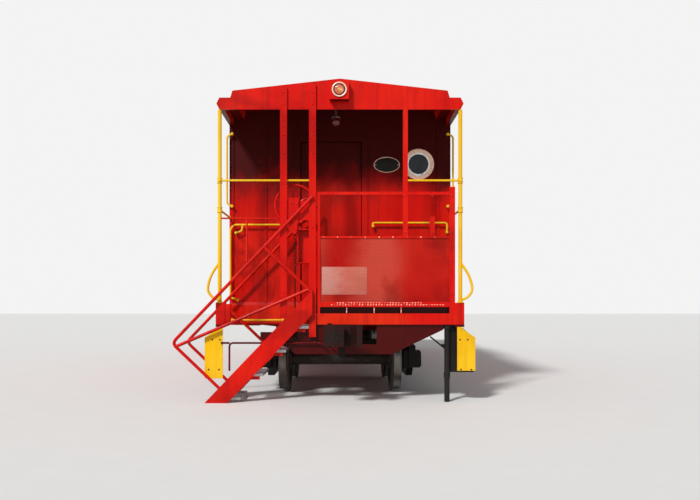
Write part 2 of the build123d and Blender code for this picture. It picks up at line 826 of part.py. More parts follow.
# Columns: distance out from the post, level
bow = [(0, 1688), (110, 1529), (158, 1346), (86, 1249), (0, 1226)]
with BuildPart() as corner_handrails:
    for side in (-1, 1):
        post_x = side * half_w
        add(pipe([(post_x, post_y, corner_box_top), (post_x, post_y, wall_top_z)], pipe_r, post_sides))
        add(pipe([(post_x, post_y, brace_rail_z), (post_x, -half_body, brace_rail_z)], iron_r))
        add(pipe([(post_x + side * out, post_y, z) for out, z in bow], iron_r))
    for x0, x1 in ((-half_w, stile_x[1]), (railing_post_x + railing_post_w / 2, half_w)):
        add(pipe([(x0, rail_y, level_rail_z), (x1, rail_y, level_rail_z)], iron_r))
    add(turned(corner_handrails.part))

# Yellow grab irons on the end walls, and one below the floor at each end
with BuildPart() as grab_irons:
    wall_y = -half_body
    iron_y = wall_y - iron_out
    edge = half_w - iron_in
    foot, bend = left_iron_foot - edge, left_iron_bend - edge
    branch = [out - edge for out in branch_iron_out]
    hook = edge - right_iron_in
    routes = [
        [(foot, wall_y, left_iron_z[0]), (foot, iron_y, left_iron_z[0]), (-edge, iron_y, left_iron_z[1]),
         (-edge, iron_y, left_iron_z[2]), (bend, iron_y, left_iron_z[3]),
         (left_iron_end_x, iron_y, left_iron_z[3]), (left_iron_end_x, wall_y, left_iron_z[3])],
        [(x, iron_y, z) for x, z in zip(branch, branch_iron_z)] + [(branch[-1], wall_y, branch_iron_z[-1])],
        [(right_iron_x[0], wall_y, right_iron_z[0]), (right_iron_x[0], iron_y, right_iron_z[0]),
         (right_iron_x[1], iron_y, right_iron_z[1]), (hook, iron_y, right_iron_z[1]),
         (hook, iron_y, right_iron_z[2]), (hook, wall_y, right_iron_z[2])],
    ]
    for side in (-1, 1):
        foot_x = side * (edge - side_iron_foot)
        foot_y = wall_y - rib_t if side < 0 else wall_y
        rod_x = side * (edge + side_iron_out)
        xs = (foot_x, rod_x, rod_x, foot_x)
        rod = [(x, iron_y, z) for x, z in zip(xs, side_iron_z)]
        routes.append([(foot_x, foot_y, side_iron_z[0])] + rod + [(foot_x, foot_y, side_iron_z[-1])])
    low_x = side_iron_foot - edge
    routes.append([(low_x, wall_y, low_iron_z), (low_x, iron_y, low_iron_z),
                   (low_iron_end_x, iron_y, low_iron_z), (low_iron_end_x, wall_y, low_iron_z)])
    for route in routes:
        add(pipe(route, iron_r))
    add(turned(grab_irons.part))

# Steps: three open treads between two hangers in each well, and yellow plates with a
# folded edge outside the body. The stair takes the place of the near left steps.
with BuildPart() as step_frames:
    hanger_y = sill_back_y - hanger_t
    near_hanger = [(half_w - hanger_x, end_sill_z), (end_sill_x, end_sill_z), (end_sill_x, corner_box_z),
                   (step_edge_x + step_corner, corner_box_z), (step_out_x, step_plate_top - chamfer_drop),
                   (step_out_x, step_z[2] - step_t), (half_w - hanger_x, step_z[2] - step_t)]
    wall_hanger = [(half_w - wall_hanger_in, side_sill_z), (half_w, side_sill_z),
                   (step_out_x, step_plate_top - chamfer_drop),
                   (step_out_x, step_z[2] - step_t), (half_w - wall_hanger_in, step_z[2] - step_t)]
    add(plate(near_hanger, hanger_y, hanger_t))
    add(plate(wall_hanger, -half_body, hanger_t))
    for (x0, x1), z in zip(step_spans, step_z):
        add(block((half_w + x0, half_w + x1), (sill_back_y, -half_body), (z - step_t, z)))
    far_left = step_frames.part.mirror(Plane.YZ)
    add(turned(step_frames.part))
    add(turned(far_left))


def step_plate(side, low_z, corner_z):
    """Yellow plate beside a step well, with its outer edge folded inwards."""
    corner = (step_edge_x + step_corner, step_plate_top)
    face = [(step_edge_x, low_z), (step_out_x, low_z), (step_out_x, step_plate_top - chamfer_drop),
            corner, (corner[0], corner_z), (step_edge_x, corner_z)]
    fold = [(step_out_x, low_z), (step_out_x, step_plate_top - chamfer_drop), corner,
            (corner[0], step_plate_top - step_plate_t),
            (step_out_x - step_plate_t, step_plate_top - chamfer_drop - fold_relief),
            (step_out_x - step_plate_t, low_z)]
    with BuildPart() as folded:
        add(plate([(side * x, z) for x, z in face], front_y, step_plate_t))
        add(plate([(side * x, z) for x, z in fold], front_y, flange_d))
    return folded.part


with BuildPart() as step_plates:
    add(step_plate(1, step_plate_low, corner_box_z))
    add(turned(step_plates.part))
    add(step_plate(-1, stair_side_plate_low, corner_box_z))
    add(turned(step_plate(-1, step_plate_low, corner_box_z)))

# Stair: two stringers with treads between them, on cleats, and a pipe handrail on each.
# The near stringer is bolted to the front of the railing's stile, the far one butts
# against the deck's edge.
slope = radians(stair_angle)
run = cos(slope)
rise = sin(slope)
stair_top_x = stile_x[1]
foot_x = stair_top_x - (stringer_top_z - stand_z) * run / rise
drop = stringer_h / run
near_stringer_y = front_y - stile_t
tread_xs = [stair_top_x - i * tread_rise * run / rise for i in range(1, tread_count + 1)]
tread_zs = [deck_z - i * tread_rise for i in range(1, tread_count + 1)]


def stair_point(x, above=0):
    """Point in the stair's side view, so far above the stringer's top edge."""
    return (x, stand_z + (x - foot_x) * rise / run + above)


def stair_offset(along, out):
    """Point so far along the stringer's top edge from its foot, and out square to it."""
    return (foot_x + along * run - out * rise, stand_z + along * rise + out * run)


with BuildPart() as stair_stringers:
    for y, end_x in ((near_stringer_y - stringer_t, stair_top_x), (-stair_far_y, open_side_x)):
        add(plate([stair_point(foot_x), stair_point(end_x), stair_point(end_x, -drop),
                   stair_point(foot_x + drop * run / rise, -drop)], y, stringer_t))
    for x, z in zip(tread_xs, tread_zs):
        if z - tread_t - cleat > stand_z:
            for y in (near_stringer_y, -stair_far_y - cleat_t):
                add(block((x + cleat, x + tread_d - cleat), (y, y + cleat_t),
                          (z - tread_t - cleat, z - tread_t)))

with BuildPart() as stair_treads:
    for x, z in zip(tread_xs, tread_zs):
        add(block((x, x + tread_d), (near_stringer_y, -stair_far_y), (z - tread_t, z)))
    add(block((chain_x - link_w, chain_x + link_w), (near_stringer_y, deck_edge_y - link_gap),
              (tread_zs[0] - tread_t, tread_zs[0])), mode=Mode.SUBTRACT)

with BuildPart() as stair_handrails:
    length = (stair_top_x - foot_x) / run
    near_y = near_stringer_y - stringer_t / 2
    far_y = -stair_far_y + stringer_t / 2
    upper = length - pipe_r
    low = stair_offset(post_foot, handrail_h)
    high = (stair_top_x, low[1] + (stair_top_x - low[0]) * rise / run)
    far_h = handrail_h - far_handrail_drop * run
    far_low = stair_offset(post_foot, far_h)
    far_top_x = open_side_x + handrail_r
    far_high = (far_top_x, far_low[1] + (far_top_x - far_low[0]) * rise / run)
    # Columns: depth, points in side view
    lines = [
        (near_y, [stair_offset(post_foot, 0), low, high]),
        (near_y, [stair_offset(upper, 0), stair_offset(upper, handrail_h)]),
        (near_y, [stair_offset(upper, brace_rail_foot),
                  stair_offset(post_foot, handrail_h - brace_rail_drop)]),
        (far_y, [stair_offset(post_foot, 0), far_low, far_high, (far_high[0], deck_z)]),
        (far_y, [stair_offset(length / 2, 0), stair_offset(length / 2, far_h)]),
    ]
    for y, points in lines:
        add(pipe([(x, y, z) for x, z in points], handrail_r, post_sides))
    add(block((stair_top_x - handrail_r, stair_top_x + handrail_r), (near_y, near_stringer_y),
              (high[1] - 2 * handrail_r, high[1])))

# Black pole under the end sill on the far side from the stair, with a brace to the beam
with BuildPart() as support_pole:
    pole_y = (front_y + sill_back_y) / 2
    add(pipe([(pole_x, pole_y, stand_z), (pole_x, pole_y, end_sill_z)], pole_r, post_sides))
    brace_x = beam_tip_x - pole_brace_in
    brace_z = beam_z + (brace_x - beam_flat_x) * (beam_tip_z - beam_z) / (beam_tip_x - beam_flat_x)
    add(pipe([(pole_x, pole_y, brace_z - pole_brace_fall), (brace_x, pole_y, brace_z - pole_brace_r)],
             pole_brace_r))

# Hand brakes: a gear housing and an open box between the stiles, and a spoked wheel that
# faces the platform
gear_z = (chain_top_z, chain_top_z + gear_h)
with BuildPart() as brake_stands:
    add(block((stile_x[0] + frame_gap, stile_x[1]), (front_y, front_y + hanger_t),
              (gear_z[0] + stand_low, gear_z[1] - stand_high)))
    nose_x = brake_x + gear_nose
    add(plate([(brake_x - gear_half, gear_z[0] + gear_half), (nose_x - link_w / 2, gear_z[0]),
               (nose_x + link_w / 2, gear_z[0]), (brake_x + gear_heel, gear_z[0] + gear_half),
               (brake_x + gear_half, gear_z[1]), (brake_x - gear_half, gear_z[1])],
              front_y - link_w, gear_d))
    tray = (brake_x + link_w + tray_gap, stile_x[1] - rib_t), (front_y, front_y + tray_d), tray_z
    add(block(*tray))
    add(block((tray[0][0] + hanger_t, tray[0][1] - hanger_t), (tray[1][0], tray[1][1] - hanger_t),
              (tray[2][0] + hanger_t, tray[2][1] - hanger_t)), mode=Mode.SUBTRACT)
    add(turned(brake_stands.part))

with BuildPart() as brake_wheels:
    wheel_plane = facing(brake_x, front_y + wheel_set_in, brake_wheel_z)
    with BuildSketch(wheel_plane):
        RegularPolygon(brake_wheel_r + rim_t / 2, brake_wheel_sides)
        RegularPolygon(brake_wheel_r - rim_t / 2, brake_wheel_sides, mode=Mode.SUBTRACT)
        with PolarLocations(brake_wheel_r / 2, spoke_count, start_angle=90):
            Rectangle(brake_wheel_r, spoke_w)
    extrude(amount=-rim_t / 2, both=True)
    add(faceted([(-rim_t, spoke_w * 2), (rim_t, spoke_w * 2)], wheel_plane, bore_sides))
    add(faceted([(0, spoke_w), (wheel_set_in - gear_d + link_w, spoke_w)], wheel_plane, bore_sides))
    add(turned(brake_wheels.part))


def chain_link(z, across):
    """Upright link whose top is at z, open along X, or along Y when it lies across."""
    middle = (chain_x, front_y, z - link_l / 2)
    plane = facing(*middle) if across else Plane(origin=middle, x_dir=(0, 1, 0), z_dir=(1, 0, 0))
    with BuildPart() as link:
        with BuildSketch(plane):
            for wide, tall, shape_mode in ((link_w, link_l, Mode.ADD),
                                           (link_w - 2 * wire, link_l - 2 * wire, Mode.SUBTRACT)):
                add(outline([(wide / 2, tall / 4), (wide / 4, tall / 2), (-wide / 4, tall / 2),
                             (-wide / 2, tall / 4), (-wide / 2, -tall / 4), (-wide / 4, -tall / 2),
                             (wide / 4, -tall / 2), (wide / 2, -tall / 4)]), mode=shape_mode)
        extrude(amount=wire / 2, both=True)
    return link.part


# Brake chains: links hung from the gear housing, a rod through the platform's open side
# and, at the near end, more links down to a lug on the beam
pitch = link_l - 2 * wire - link_gap
with BuildPart() as brake_chains:
    for i in range(chain_links):
        add(chain_link(chain_top_z - wire - i * pitch, i % 2 == 0))
    rod_top = chain_top_z - wire - (chain_links - 1) * pitch - link_l + wire
    far_rod_end = end_sill_top + cleat
    far_rod = pipe([(chain_x, front_y, rod_top), (chain_x, front_y, far_rod_end)], rod_r)
    lug_x = (chain_x - cleat / 2, chain_x + cleat / 2)
    far_lug = block(lug_x, (front_y - rod_r, front_y + rod_r), (end_sill_top, far_rod_end))
    add(turned(brake_chains.part))
    add(turned(far_rod))
    add(turned(far_lug))
    add(pipe([(chain_x, front_y, rod_top), (chain_x, front_y, low_chain_z)], rod_r))
    for i in range(low_chain_links):
        add(chain_link(low_chain_z + wire - i * pitch, i % 2 == 0))
    low_end = low_chain_z + wire - (low_chain_links - 1) * pitch - link_l + wire
    add(block(lug_x, (front_y - wire, deck_edge_y), (low_end - cleat, low_end)))

# Couplers: a shank in the sill and a head with a closed knuckle beside its guard arm,
# with the lock lift hanging below
with BuildPart() as couplers:
    add(block((-shank_w / 2, shank_w / 2), (front_y - shank_out, front_y + shank_in),
              (coupler_z - shank_h / 2, coupler_z + shank_h / 2)))
    add(block((plate_t - centre_sill_w / 2, centre_sill_w / 2 - plate_t),
              (front_y + yoke_in, front_y + shank_in), (centre_sill_z + plate_t, coupler_z + shank_h)))
    # Columns: place across, distance out from the end sill
    head = [
        (-75, 280), (-140, 330), (-188, 400), (-188, 500), (-150, 550), (-60, 560), (46, 545),
        (46, 470), (-40, 462), (-60, 430), (20, 400), (120, 410), (170, 470), (190, 560),
        (256, 560), (250, 430), (190, 340), (75, 280),
    ]
    with BuildSketch(Plane.XY.offset(coupler_z - head_h / 2)):
        add(outline([(x, front_y - out) for x, out in head]))
    extrude(amount=head_h)
    pin_half = head_h / 2 + knuckle_pin_out
    add(faceted([(-pin_half, knuckle_pin_r), (pin_half, knuckle_pin_r)],
                Plane(origin=(knuckle_pin_at[0], front_y - knuckle_pin_at[1], coupler_z)), bore_sides))
    add(block(lift_x, (front_y - lift_out[0], front_y - lift_out[1]),
              (coupler_z - head_h / 2 - lift_drop, coupler_z)))
    add(turned(couplers.part))

# Uncoupling levers: a rod from a hand loop at the platform's corner, past a bracket on the
# beam, to the lock lift
lever_y = front_y - lever_r
with BuildPart() as uncoupling_levers:
    loop_x = lever_in - half_w
    tip_z = coupler_z - head_h / 2 - lever_tip_drop
    tip = [(lever_tip_x, front_y - out, tip_z) for out in lever_tip_out]
    rod = [(loop_x, lever_y, lever_handle_z), (loop_x, lever_y, lever_z), (lever_run_x, lever_y, lever_z)]
    add(pipe(rod + tip, lever_r))
    add(block((lever_bracket_in - half_w, loop_x), (front_y - 2 * lever_r, front_y),
              (lever_z - lever_r, lever_z + lever_r)))
    add(block(lever_bracket_x, (front_y - lever_r, deck_edge_y),
              (lever_z - 2 * lever_r, lever_z + 2 * lever_r)))
    add(turned(uncoupling_levers.part))

# Marker lamps on the fascias and globe lamps under the platform ceilings
with BuildPart() as end_lamps:
    add(block((lamp_x - lamp_w / 2, lamp_x + lamp_w / 2), (front_y - lamp_d, front_y), lamp_z))
    with BuildSketch(facing(lamp_x, front_y - lamp_d, sum(lamp_z) / 2)):
        RegularPolygon(bezel_r, ring_sides)
        RegularPolygon(lens_r + rib_t, ring_sides, mode=Mode.SUBTRACT)
        RegularPolygon(lens_r, ring_sides)
    extrude(amount=rib_t)
    add(turned(end_lamps.part))

with BuildPart() as platform_lamps:
    ceiling_fall = (peak_z - gutter_z - shoulder_rise) / (half_w - shoulder_in - shoulder_run - wall_t)
    ceiling_z = peak_z - wall_t - (globe_x + stem_r * 1.1) * ceiling_fall - journal_clear
    # Columns: level above the globe's foot, radius
    globe = [(0, globe_r * 0.4), (globe_r * 0.5, globe_r * 0.9), (globe_r, globe_r),
             (globe_r * 2, globe_r * 0.9)]
    globe_plane = Plane(origin=(-globe_x, -globe_y, globe_z))
    add(faceted(globe, globe_plane, hub_sides))
    add(faceted([(globe_r * 2, globe_r), (globe_r * 3.2, globe_r * 0.5)], globe_plane, hub_sides))
    add(pipe([(-globe_x, -globe_y, globe_z + globe_r * 3), (-globe_x, -globe_y, ceiling_z)], stem_r))
    add(turned(platform_lamps.part))

# Stove pipe through the roof, with a cap on a cross strap
with BuildPart() as smoke_stack:
    stack_base = Plane(origin=(stack_x, stack_y, 0))
    rim_z = stack_top_z - cap_gap
    cap_z = stack_top_z - cap_h
    add(faceted([(deck_z, stack_r), (rim_z, stack_r)], stack_base, ring_sides))
    add(faceted([(deck_z + flue_rise, stack_r - stack_t), (rim_z, stack_r - stack_t)],
                stack_base, ring_sides), mode=Mode.SUBTRACT)
    add(block((stack_x - cap_leg_t / 2, stack_x + cap_leg_t / 2), (stack_y - stack_r, stack_y + stack_r),
              (stack_top_z - cap_leg_h, cap_z)))
    add(faceted([(cap_z, cap_r[0]), (stack_top_z, cap_r[1])], stack_base, ring_sides))

# Air tank under the floor on two straps
with BuildPart() as air_tanks:
    tank_z = floor_z - tank_r - tank_drop
    tank_plane = facing(tank_x, tank_y + tank_l / 2, tank_z)
    tank = [(-tank_head, tank_head_r), (0, tank_r), (tank_l, tank_r), (tank_l + tank_head, tank_head_r)]
    add(faceted(tank, tank_plane, ring_sides))
    for y in (tank_y - tank_l / 4, tank_y + tank_l / 4):
        add(block((tank_x - tank_r - strap_t, tank_x + tank_r + strap_t), (y - strap_w / 2, y + strap_w / 2),
                  (tank_z, floor_z)))

# Seats in the bays, facing each other in pairs
with BuildPart() as bay_seats:
    # Columns: in YZ view, distance from the seat's back, level above the floor
    seat_h = seat_z - deck_z
    seat_side = [(0, 0), (seat_d, 0), (seat_d, cushion_h), cushion_back, (seat_back_t, seat_h), (0, seat_h)]
    with BuildSketch(Plane.YZ.offset(half_w - wall_t - rib_t - seat_w)):
        for row in (-1, 1):
            add(outline([(row * (seat_y - out), deck_z + up) for out, up in seat_side]))
    extrude(amount=seat_w)
    mirror(about=Plane.YZ)

pieces = {
    "underframe": underframe,
    "floor_plates": floor_plates,
    "end_sills": end_sills,
    "side_wall_left": side_wall_left,
    "side_wall_right": side_wall_right,
    "bay_left": bay_left,
    "bay_right": bay_right,
    "end_wall_near": end_wall_near,
    "end_wall_far": end_wall_far,
    "roof": roof,
    "roof_fascias": roof_fascias,
    "wheelset_1": wheelset_1,
    "wheelset_2": wheelset_2,
    "wheelset_3": wheelset_3,
    "wheelset_4": wheelset_4,
    "truck_frames_near": truck_frames_near,
    "truck_frames_far": truck_frames_far,
    "truck_bolster_near": truck_bolster_near,
    "truck_bolster_far": truck_bolster_far,
    "door_near": door_near,
    "door_far": door_far,
    "window_frames": window_frames,
    "window_panes": window_panes,
    "end_railings": end_railings,
    "mesh_panels": mesh_panels,
    "corner_handrails": corner_handrails,
    "grab_irons": grab_irons,
    "step_frames": step_frames,
    "step_plates": step_plates,
    "stair_stringers": stair_stringers,
    "stair_treads": stair_treads,
    "stair_handrails": stair_handrails,
    "support_pole": support_pole,
    "brake_stands": brake_stands,
    "brake_wheels": brake_wheels,
    "brake_chains": brake_chains,
    "couplers": couplers,
    "uncoupling_levers": uncoupling_levers,
    "end_lamps": end_lamps,
    "platform_lamps": platform_lamps,
    "smoke_stack": smoke_stack,
    "air_tanks": air_tanks,
    "bay_seats": bay_seats,
}
for name, piece in pieces.items():
    piece.part.label = name
    export_step(piece.part, f"parts/{name}.step")
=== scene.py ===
from math import cos, pi, radians, sin, sqrt

import bmesh
import bpy
import numpy as np
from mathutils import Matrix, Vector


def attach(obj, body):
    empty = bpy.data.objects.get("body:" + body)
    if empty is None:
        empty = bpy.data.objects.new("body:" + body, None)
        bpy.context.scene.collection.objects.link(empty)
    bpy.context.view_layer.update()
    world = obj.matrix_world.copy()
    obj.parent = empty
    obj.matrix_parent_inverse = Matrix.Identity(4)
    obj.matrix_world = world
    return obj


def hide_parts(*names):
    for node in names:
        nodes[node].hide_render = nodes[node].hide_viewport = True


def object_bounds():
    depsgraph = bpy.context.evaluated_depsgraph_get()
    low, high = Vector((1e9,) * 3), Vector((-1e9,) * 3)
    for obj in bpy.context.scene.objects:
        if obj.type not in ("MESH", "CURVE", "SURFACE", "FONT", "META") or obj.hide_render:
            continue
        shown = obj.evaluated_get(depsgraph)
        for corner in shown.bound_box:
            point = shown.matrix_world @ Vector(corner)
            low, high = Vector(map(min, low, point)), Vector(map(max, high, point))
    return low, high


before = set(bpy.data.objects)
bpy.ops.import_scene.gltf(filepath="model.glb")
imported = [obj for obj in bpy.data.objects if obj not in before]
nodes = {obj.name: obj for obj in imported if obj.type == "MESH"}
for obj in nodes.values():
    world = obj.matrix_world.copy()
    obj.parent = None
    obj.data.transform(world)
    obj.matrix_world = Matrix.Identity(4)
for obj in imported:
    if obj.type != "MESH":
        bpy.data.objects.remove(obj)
solid_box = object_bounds()

# Wheelsets: cast wheels pressed on forged axles. The treads and flanges are rubbed bright by
# the rail, the plates and hubs are brown with rust and brake dust.
truck_y, axle_off = 3.26, 0.85
wheel_r, wheel_back = 0.419, 0.68
sharp_edge = radians(40)


class Value:
    """What a node gives out over a surface; each operator adds the Math node it names."""

    def __init__(self, finish, socket):
        self.finish = finish
        self.socket = socket

    def math(self, operation, first, second=0.0):
        return self.finish.add("ShaderNodeMath", {"operation": operation}, {0: first, 1: second})

    def __add__(self, other):
        return self.math("ADD", self, other)

    def __sub__(self, other):
        return self.math("SUBTRACT", self, other)

    def __rsub__(self, other):
        return self.math("SUBTRACT", other, self)

    def __mul__(self, other):
        return self.math("MULTIPLY", self, other)

    def __truediv__(self, other):
        return self.math("DIVIDE", self, other)

    def __pow__(self, other):
        return self.math("POWER", self, other)

    def __abs__(self):
        return self.math("ABSOLUTE", self)

    def cell(self, pitch):
        """Distance from the middle of its cell, as a share of half the pitch."""
        return abs(self.math("FRACT", self / pitch) - 0.5) * 2.0

    __radd__ = __add__
    __rmul__ = __mul__


class Finish:
    """A node material built up from the place on the object to one shader."""

    def __init__(self, name):
        self.material = bpy.data.materials.new(name)
        self.material.use_nodes = True
        self.tree = self.material.node_tree
        self.tree.nodes.clear()
        self.where = self.add("ShaderNodeTexCoord", out="Object")

    def add(self, kind, settings=None, values=None, out=0):
        """Any node: its type, the settings made first, the values or links of its sockets."""
        node = self.tree.nodes.new(kind)
        for key, value in (settings or {}).items():
            setattr(node, key, value)
        for key, value in (values or {}).items():
            if isinstance(value, Value):
                self.tree.links.new(value.socket, node.inputs[key])
            elif isinstance(value, tuple) and len(value) == 3 and node.inputs[key].type == "RGBA":
                node.inputs[key].default_value = (*value, 1.0)
            else:
                node.inputs[key].default_value = value
        return Value(self, node.outputs[out])

    def noise(self, grains, detail=4.0, rough=0.55, twist=0.0, offset=(0, 0, 0)):
        """Fractal noise from 0 to 1, with so many grains a metre along each axis."""
        spot = self.add("ShaderNodeMapping", {},
                        {"Vector": self.where, "Scale": grains, "Location": offset})
        return self.add("ShaderNodeTexNoise", {}, {"Vector": spot, "Scale": 1.0, "Detail": detail,
                                                   "Roughness": rough, "Distortion": twist})

    def ramp(self, value, low, high):
        """0 at the low level, 1 at the high one, smooth between them."""
        return self.add("ShaderNodeMapRange", {"interpolation_type": "SMOOTHSTEP"},
                        {"Value": value, "From Min": low, "From Max": high})

    def mix(self, amount, first, second):
        """Second colour over the first by the amount."""
        return self.add("ShaderNodeMix", {"data_type": "RGBA"}, {0: amount, 6: first, 7: second}, out=2)

    def axis(self, which):
        """One coordinate of the place on the object, in metres."""
        return self.add("ShaderNodeSeparateXYZ", {}, {0: self.where}, out=which)

    def facing(self, which):
        """How far the surface faces along one axis, from -1 to 1."""
        way = self.add("ShaderNodeNewGeometry", out="Normal")
        return self.add("ShaderNodeSeparateXYZ", {}, {0: way}, out=which)

    def edges(self, radius):
        """1 on convex and concave edges within the radius, 0 on flats."""
        bent = self.add("ShaderNodeBevel", {"samples": 4}, {"Radius": radius})
        flat = self.add("ShaderNodeNewGeometry", out="Normal")
        same = self.add("ShaderNodeVectorMath", {"operation": "DOT_PRODUCT"}, {0: bent, 1: flat}, out="Value")
        return self.ramp(1.0 - same, 0.02, 0.25)

    def bump(self, height, depth):
        """Surface normal from a height between 0 and 1 and its depth in metres."""
        return self.add("ShaderNodeBump", {}, {"Height": height, "Distance": depth, "Strength": 1.0})

    def finish(self, shader):
        """Principled shader with these sockets, linked to the output."""
        surface = self.add("ShaderNodeBsdfPrincipled", {}, shader)
        self.tree.links.new(surface.socket, self.tree.nodes.new("ShaderNodeOutputMaterial").inputs["Surface"])
        return self.material


def build(name, patches, material, body="body", stands_for=()):
    """One piece from patches. A patch is a grid of points (rings, round each ring, 3): quads join
    each ring to the next, and the end rings are filled unless they meet or end in a point."""
    points, faces, start = [], [], 0
    for patch in patches:
        rings, around = patch.shape[:2]
        flat = patch.reshape(-1, 3)
        index = np.arange(rings * around).reshape(rings, around)
        after = np.roll(index, -1, axis=1)
        quads = np.stack([index[:-1], after[:-1], after[1:], index[1:]], axis=-1).reshape(-1, 4)
        ends = [] if np.allclose(patch[0], patch[-1]) else [index[0, ::-1], index[-1]]
        a, b, c, d = np.moveaxis((flat - flat.mean(axis=0))[quads], 1, 0)
        if np.sum(a * np.cross(b, c)) + np.sum(a * np.cross(c, d)) < 0:
            quads, ends = quads[:, ::-1], [end[::-1] for end in ends]
        faces += (quads + start).tolist() + [(end + start).tolist() for end in ends]
        points.append(flat)
        start += rings * around
    shape = bpy.data.meshes.new(name)
    shape.from_pydata(np.concatenate(points).tolist(), [], faces)
    solid = bmesh.new()
    solid.from_mesh(shape)
    bmesh.ops.remove_doubles(solid, verts=solid.verts, dist=1e-6)
    solid.to_mesh(shape)
    solid.free()
    shape.polygons.foreach_set("use_smooth", np.ones(len(shape.polygons), dtype=bool))
    shape.set_sharp_from_angle(angle=sharp_edge)
    shape.materials.append(material)
    piece = bpy.data.objects.new(name, shape)
    bpy.context.scene.collection.objects.link(piece)
    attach(piece, body)
    if stands_for:
        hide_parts(*stands_for)


def spokes(along, around):
    """Unit vectors at equal angles round each direction, starting square to a skew line."""
    along = np.asarray(along, dtype=float)
    first = np.cross(along, (0.36, 0.48, 0.80))
    first /= np.linalg.norm(first, axis=-1, keepdims=True)
    second = np.cross(along, first)
    turn = np.linspace(0, 2 * pi, around, endpoint=False)
    return np.cos(turn)[:, None] * first[..., None, :] + np.sin(turn)[:, None] * second[..., None, :]


def lathe(profile, centre, axis, around):
    """Revolve: each (distance along, radius) of the profile swings once round the axis."""
    along, radius = np.array(profile, dtype=float).T
    axis = np.array(axis, dtype=float)
    rings = along[:, None, None] * axis + radius[:, None, None] * spokes(axis, around)
    return np.array(centre, dtype=float) + rings


def dress(material, *names):
    """Puts one material on the CAD nodes named."""
    for name in names:
        for place in nodes[name].material_slots:
            place.material = material


rust = Finish("wheel_steel")
off_axle = abs(abs(rust.axis(1)) - truck_y) - axle_off
above_axle = rust.axis(2) - wheel_r
from_axle = (off_axle * off_axle + above_axle * above_axle) ** 0.5
rubbed = rust.ramp(from_axle, 0.409, 0.413) * (1.0 - rust.ramp(from_axle, 0.4195, 0.426))
scale = rust.ramp(rust.noise((28.0, 28.0, 28.0), 8.0, 0.7), 0.35, 0.7)
oily = rust.ramp(rust.noise((5.0, 9.0, 9.0), 3.0), 0.45, 0.7) * (1.0 - rust.ramp(from_axle, 0.13, 0.30))
tone = rust.mix(scale, (0.014, 0.010, 0.008), (0.055, 0.028, 0.017))
tone = rust.mix(oily * 0.8, tone, (0.010, 0.008, 0.007))
tone = rust.mix(rubbed * 0.8, tone, (0.20, 0.185, 0.17))
wheel_steel = rust.finish({
    "Base Color": tone, "Metallic": rubbed * 0.9, "Roughness": 0.85 - rubbed * 0.5 - oily * 0.35,
    "Normal": rust.bump(scale * (1.0 - rubbed), 0.0006)})

# Columns: distance out from the wheel's back face, radius
wheel_profile = [
    (-0.020, 0.080), (-0.020, 0.124), (-0.013, 0.130), (0.004, 0.138), (0.026, 0.175), (0.036, 0.230),
    (0.036, 0.300), (0.020, 0.345), (0.002, 0.366), (0.000, 0.374), (0.000, 0.428), (0.004, 0.438),
    (0.011, 0.4435), (0.019, 0.4425), (0.026, 0.437), (0.032, 0.428), (0.038, 0.4215), (0.048, 0.4185),
    (0.095, 0.4165), (0.132, 0.4145), (0.140, 0.408), (0.140, 0.368), (0.134, 0.356), (0.108, 0.346),
    (0.080, 0.328), (0.068, 0.290), (0.068, 0.215), (0.084, 0.165), (0.112, 0.138), (0.136, 0.130),
    (0.154, 0.128), (0.160, 0.121), (0.160, 0.074)]
journal_profile = [(0.13, 0.070), (0.405, 0.0695)]
# Columns: distance from the axle's middle, radius
axle_profile = [(-0.72, 0.070), (-0.68, 0.084), (-0.60, 0.086), (-0.54, 0.078),
                (0.54, 0.078), (0.60, 0.086), (0.68, 0.084), (0.72, 0.070)]
axle_places = [end * truck_y + row * axle_off for end in (-1, 1) for row in (-1, 1)]
for number, axle_y in enumerate(axle_places, 1):
    turned = [lathe(axle_profile, (0, axle_y, wheel_r), (1, 0, 0), 32)]
    for side in (-1, 1):
        back = (side * wheel_back, axle_y, wheel_r)
        turned += [lathe(wheel_profile, back, (side, 0, 0), 72),
                   lathe(journal_profile, back, (side, 0, 0), 32)]
    build(f"wheelset_{number}_smooth", turned, wheel_steel, f"wheelset_{number}",
          [f"wheelset_{number}"])

# Trucks and step hangers: cast and plate steel in black paint that road dust has greyed. Four
# bolts hold each journal box's lid, and chips show rust.
journal_lid_x = 1.1
lid_bolt_y, lid_bolt_z = 0.075, 0.08


def aged(coat):
    """What the sprayed coats share: broad fading and fine vertical streaks from 0 to 1, and the
    height of the film, orange peel over slow waves."""
    fade = coat.ramp(coat.noise((0.9, 0.9, 0.9), 3.0), 0.35, 0.7)
    streak = coat.ramp(coat.noise((16.0, 16.0, 0.7), 5.0, 0.6), 0.42, 0.78)
    peel = coat.noise((160.0, 160.0, 160.0), 2.0) * 0.25 + coat.noise((2.2, 2.2, 1.6), 1.0) * 9.0
    return fade, streak, peel


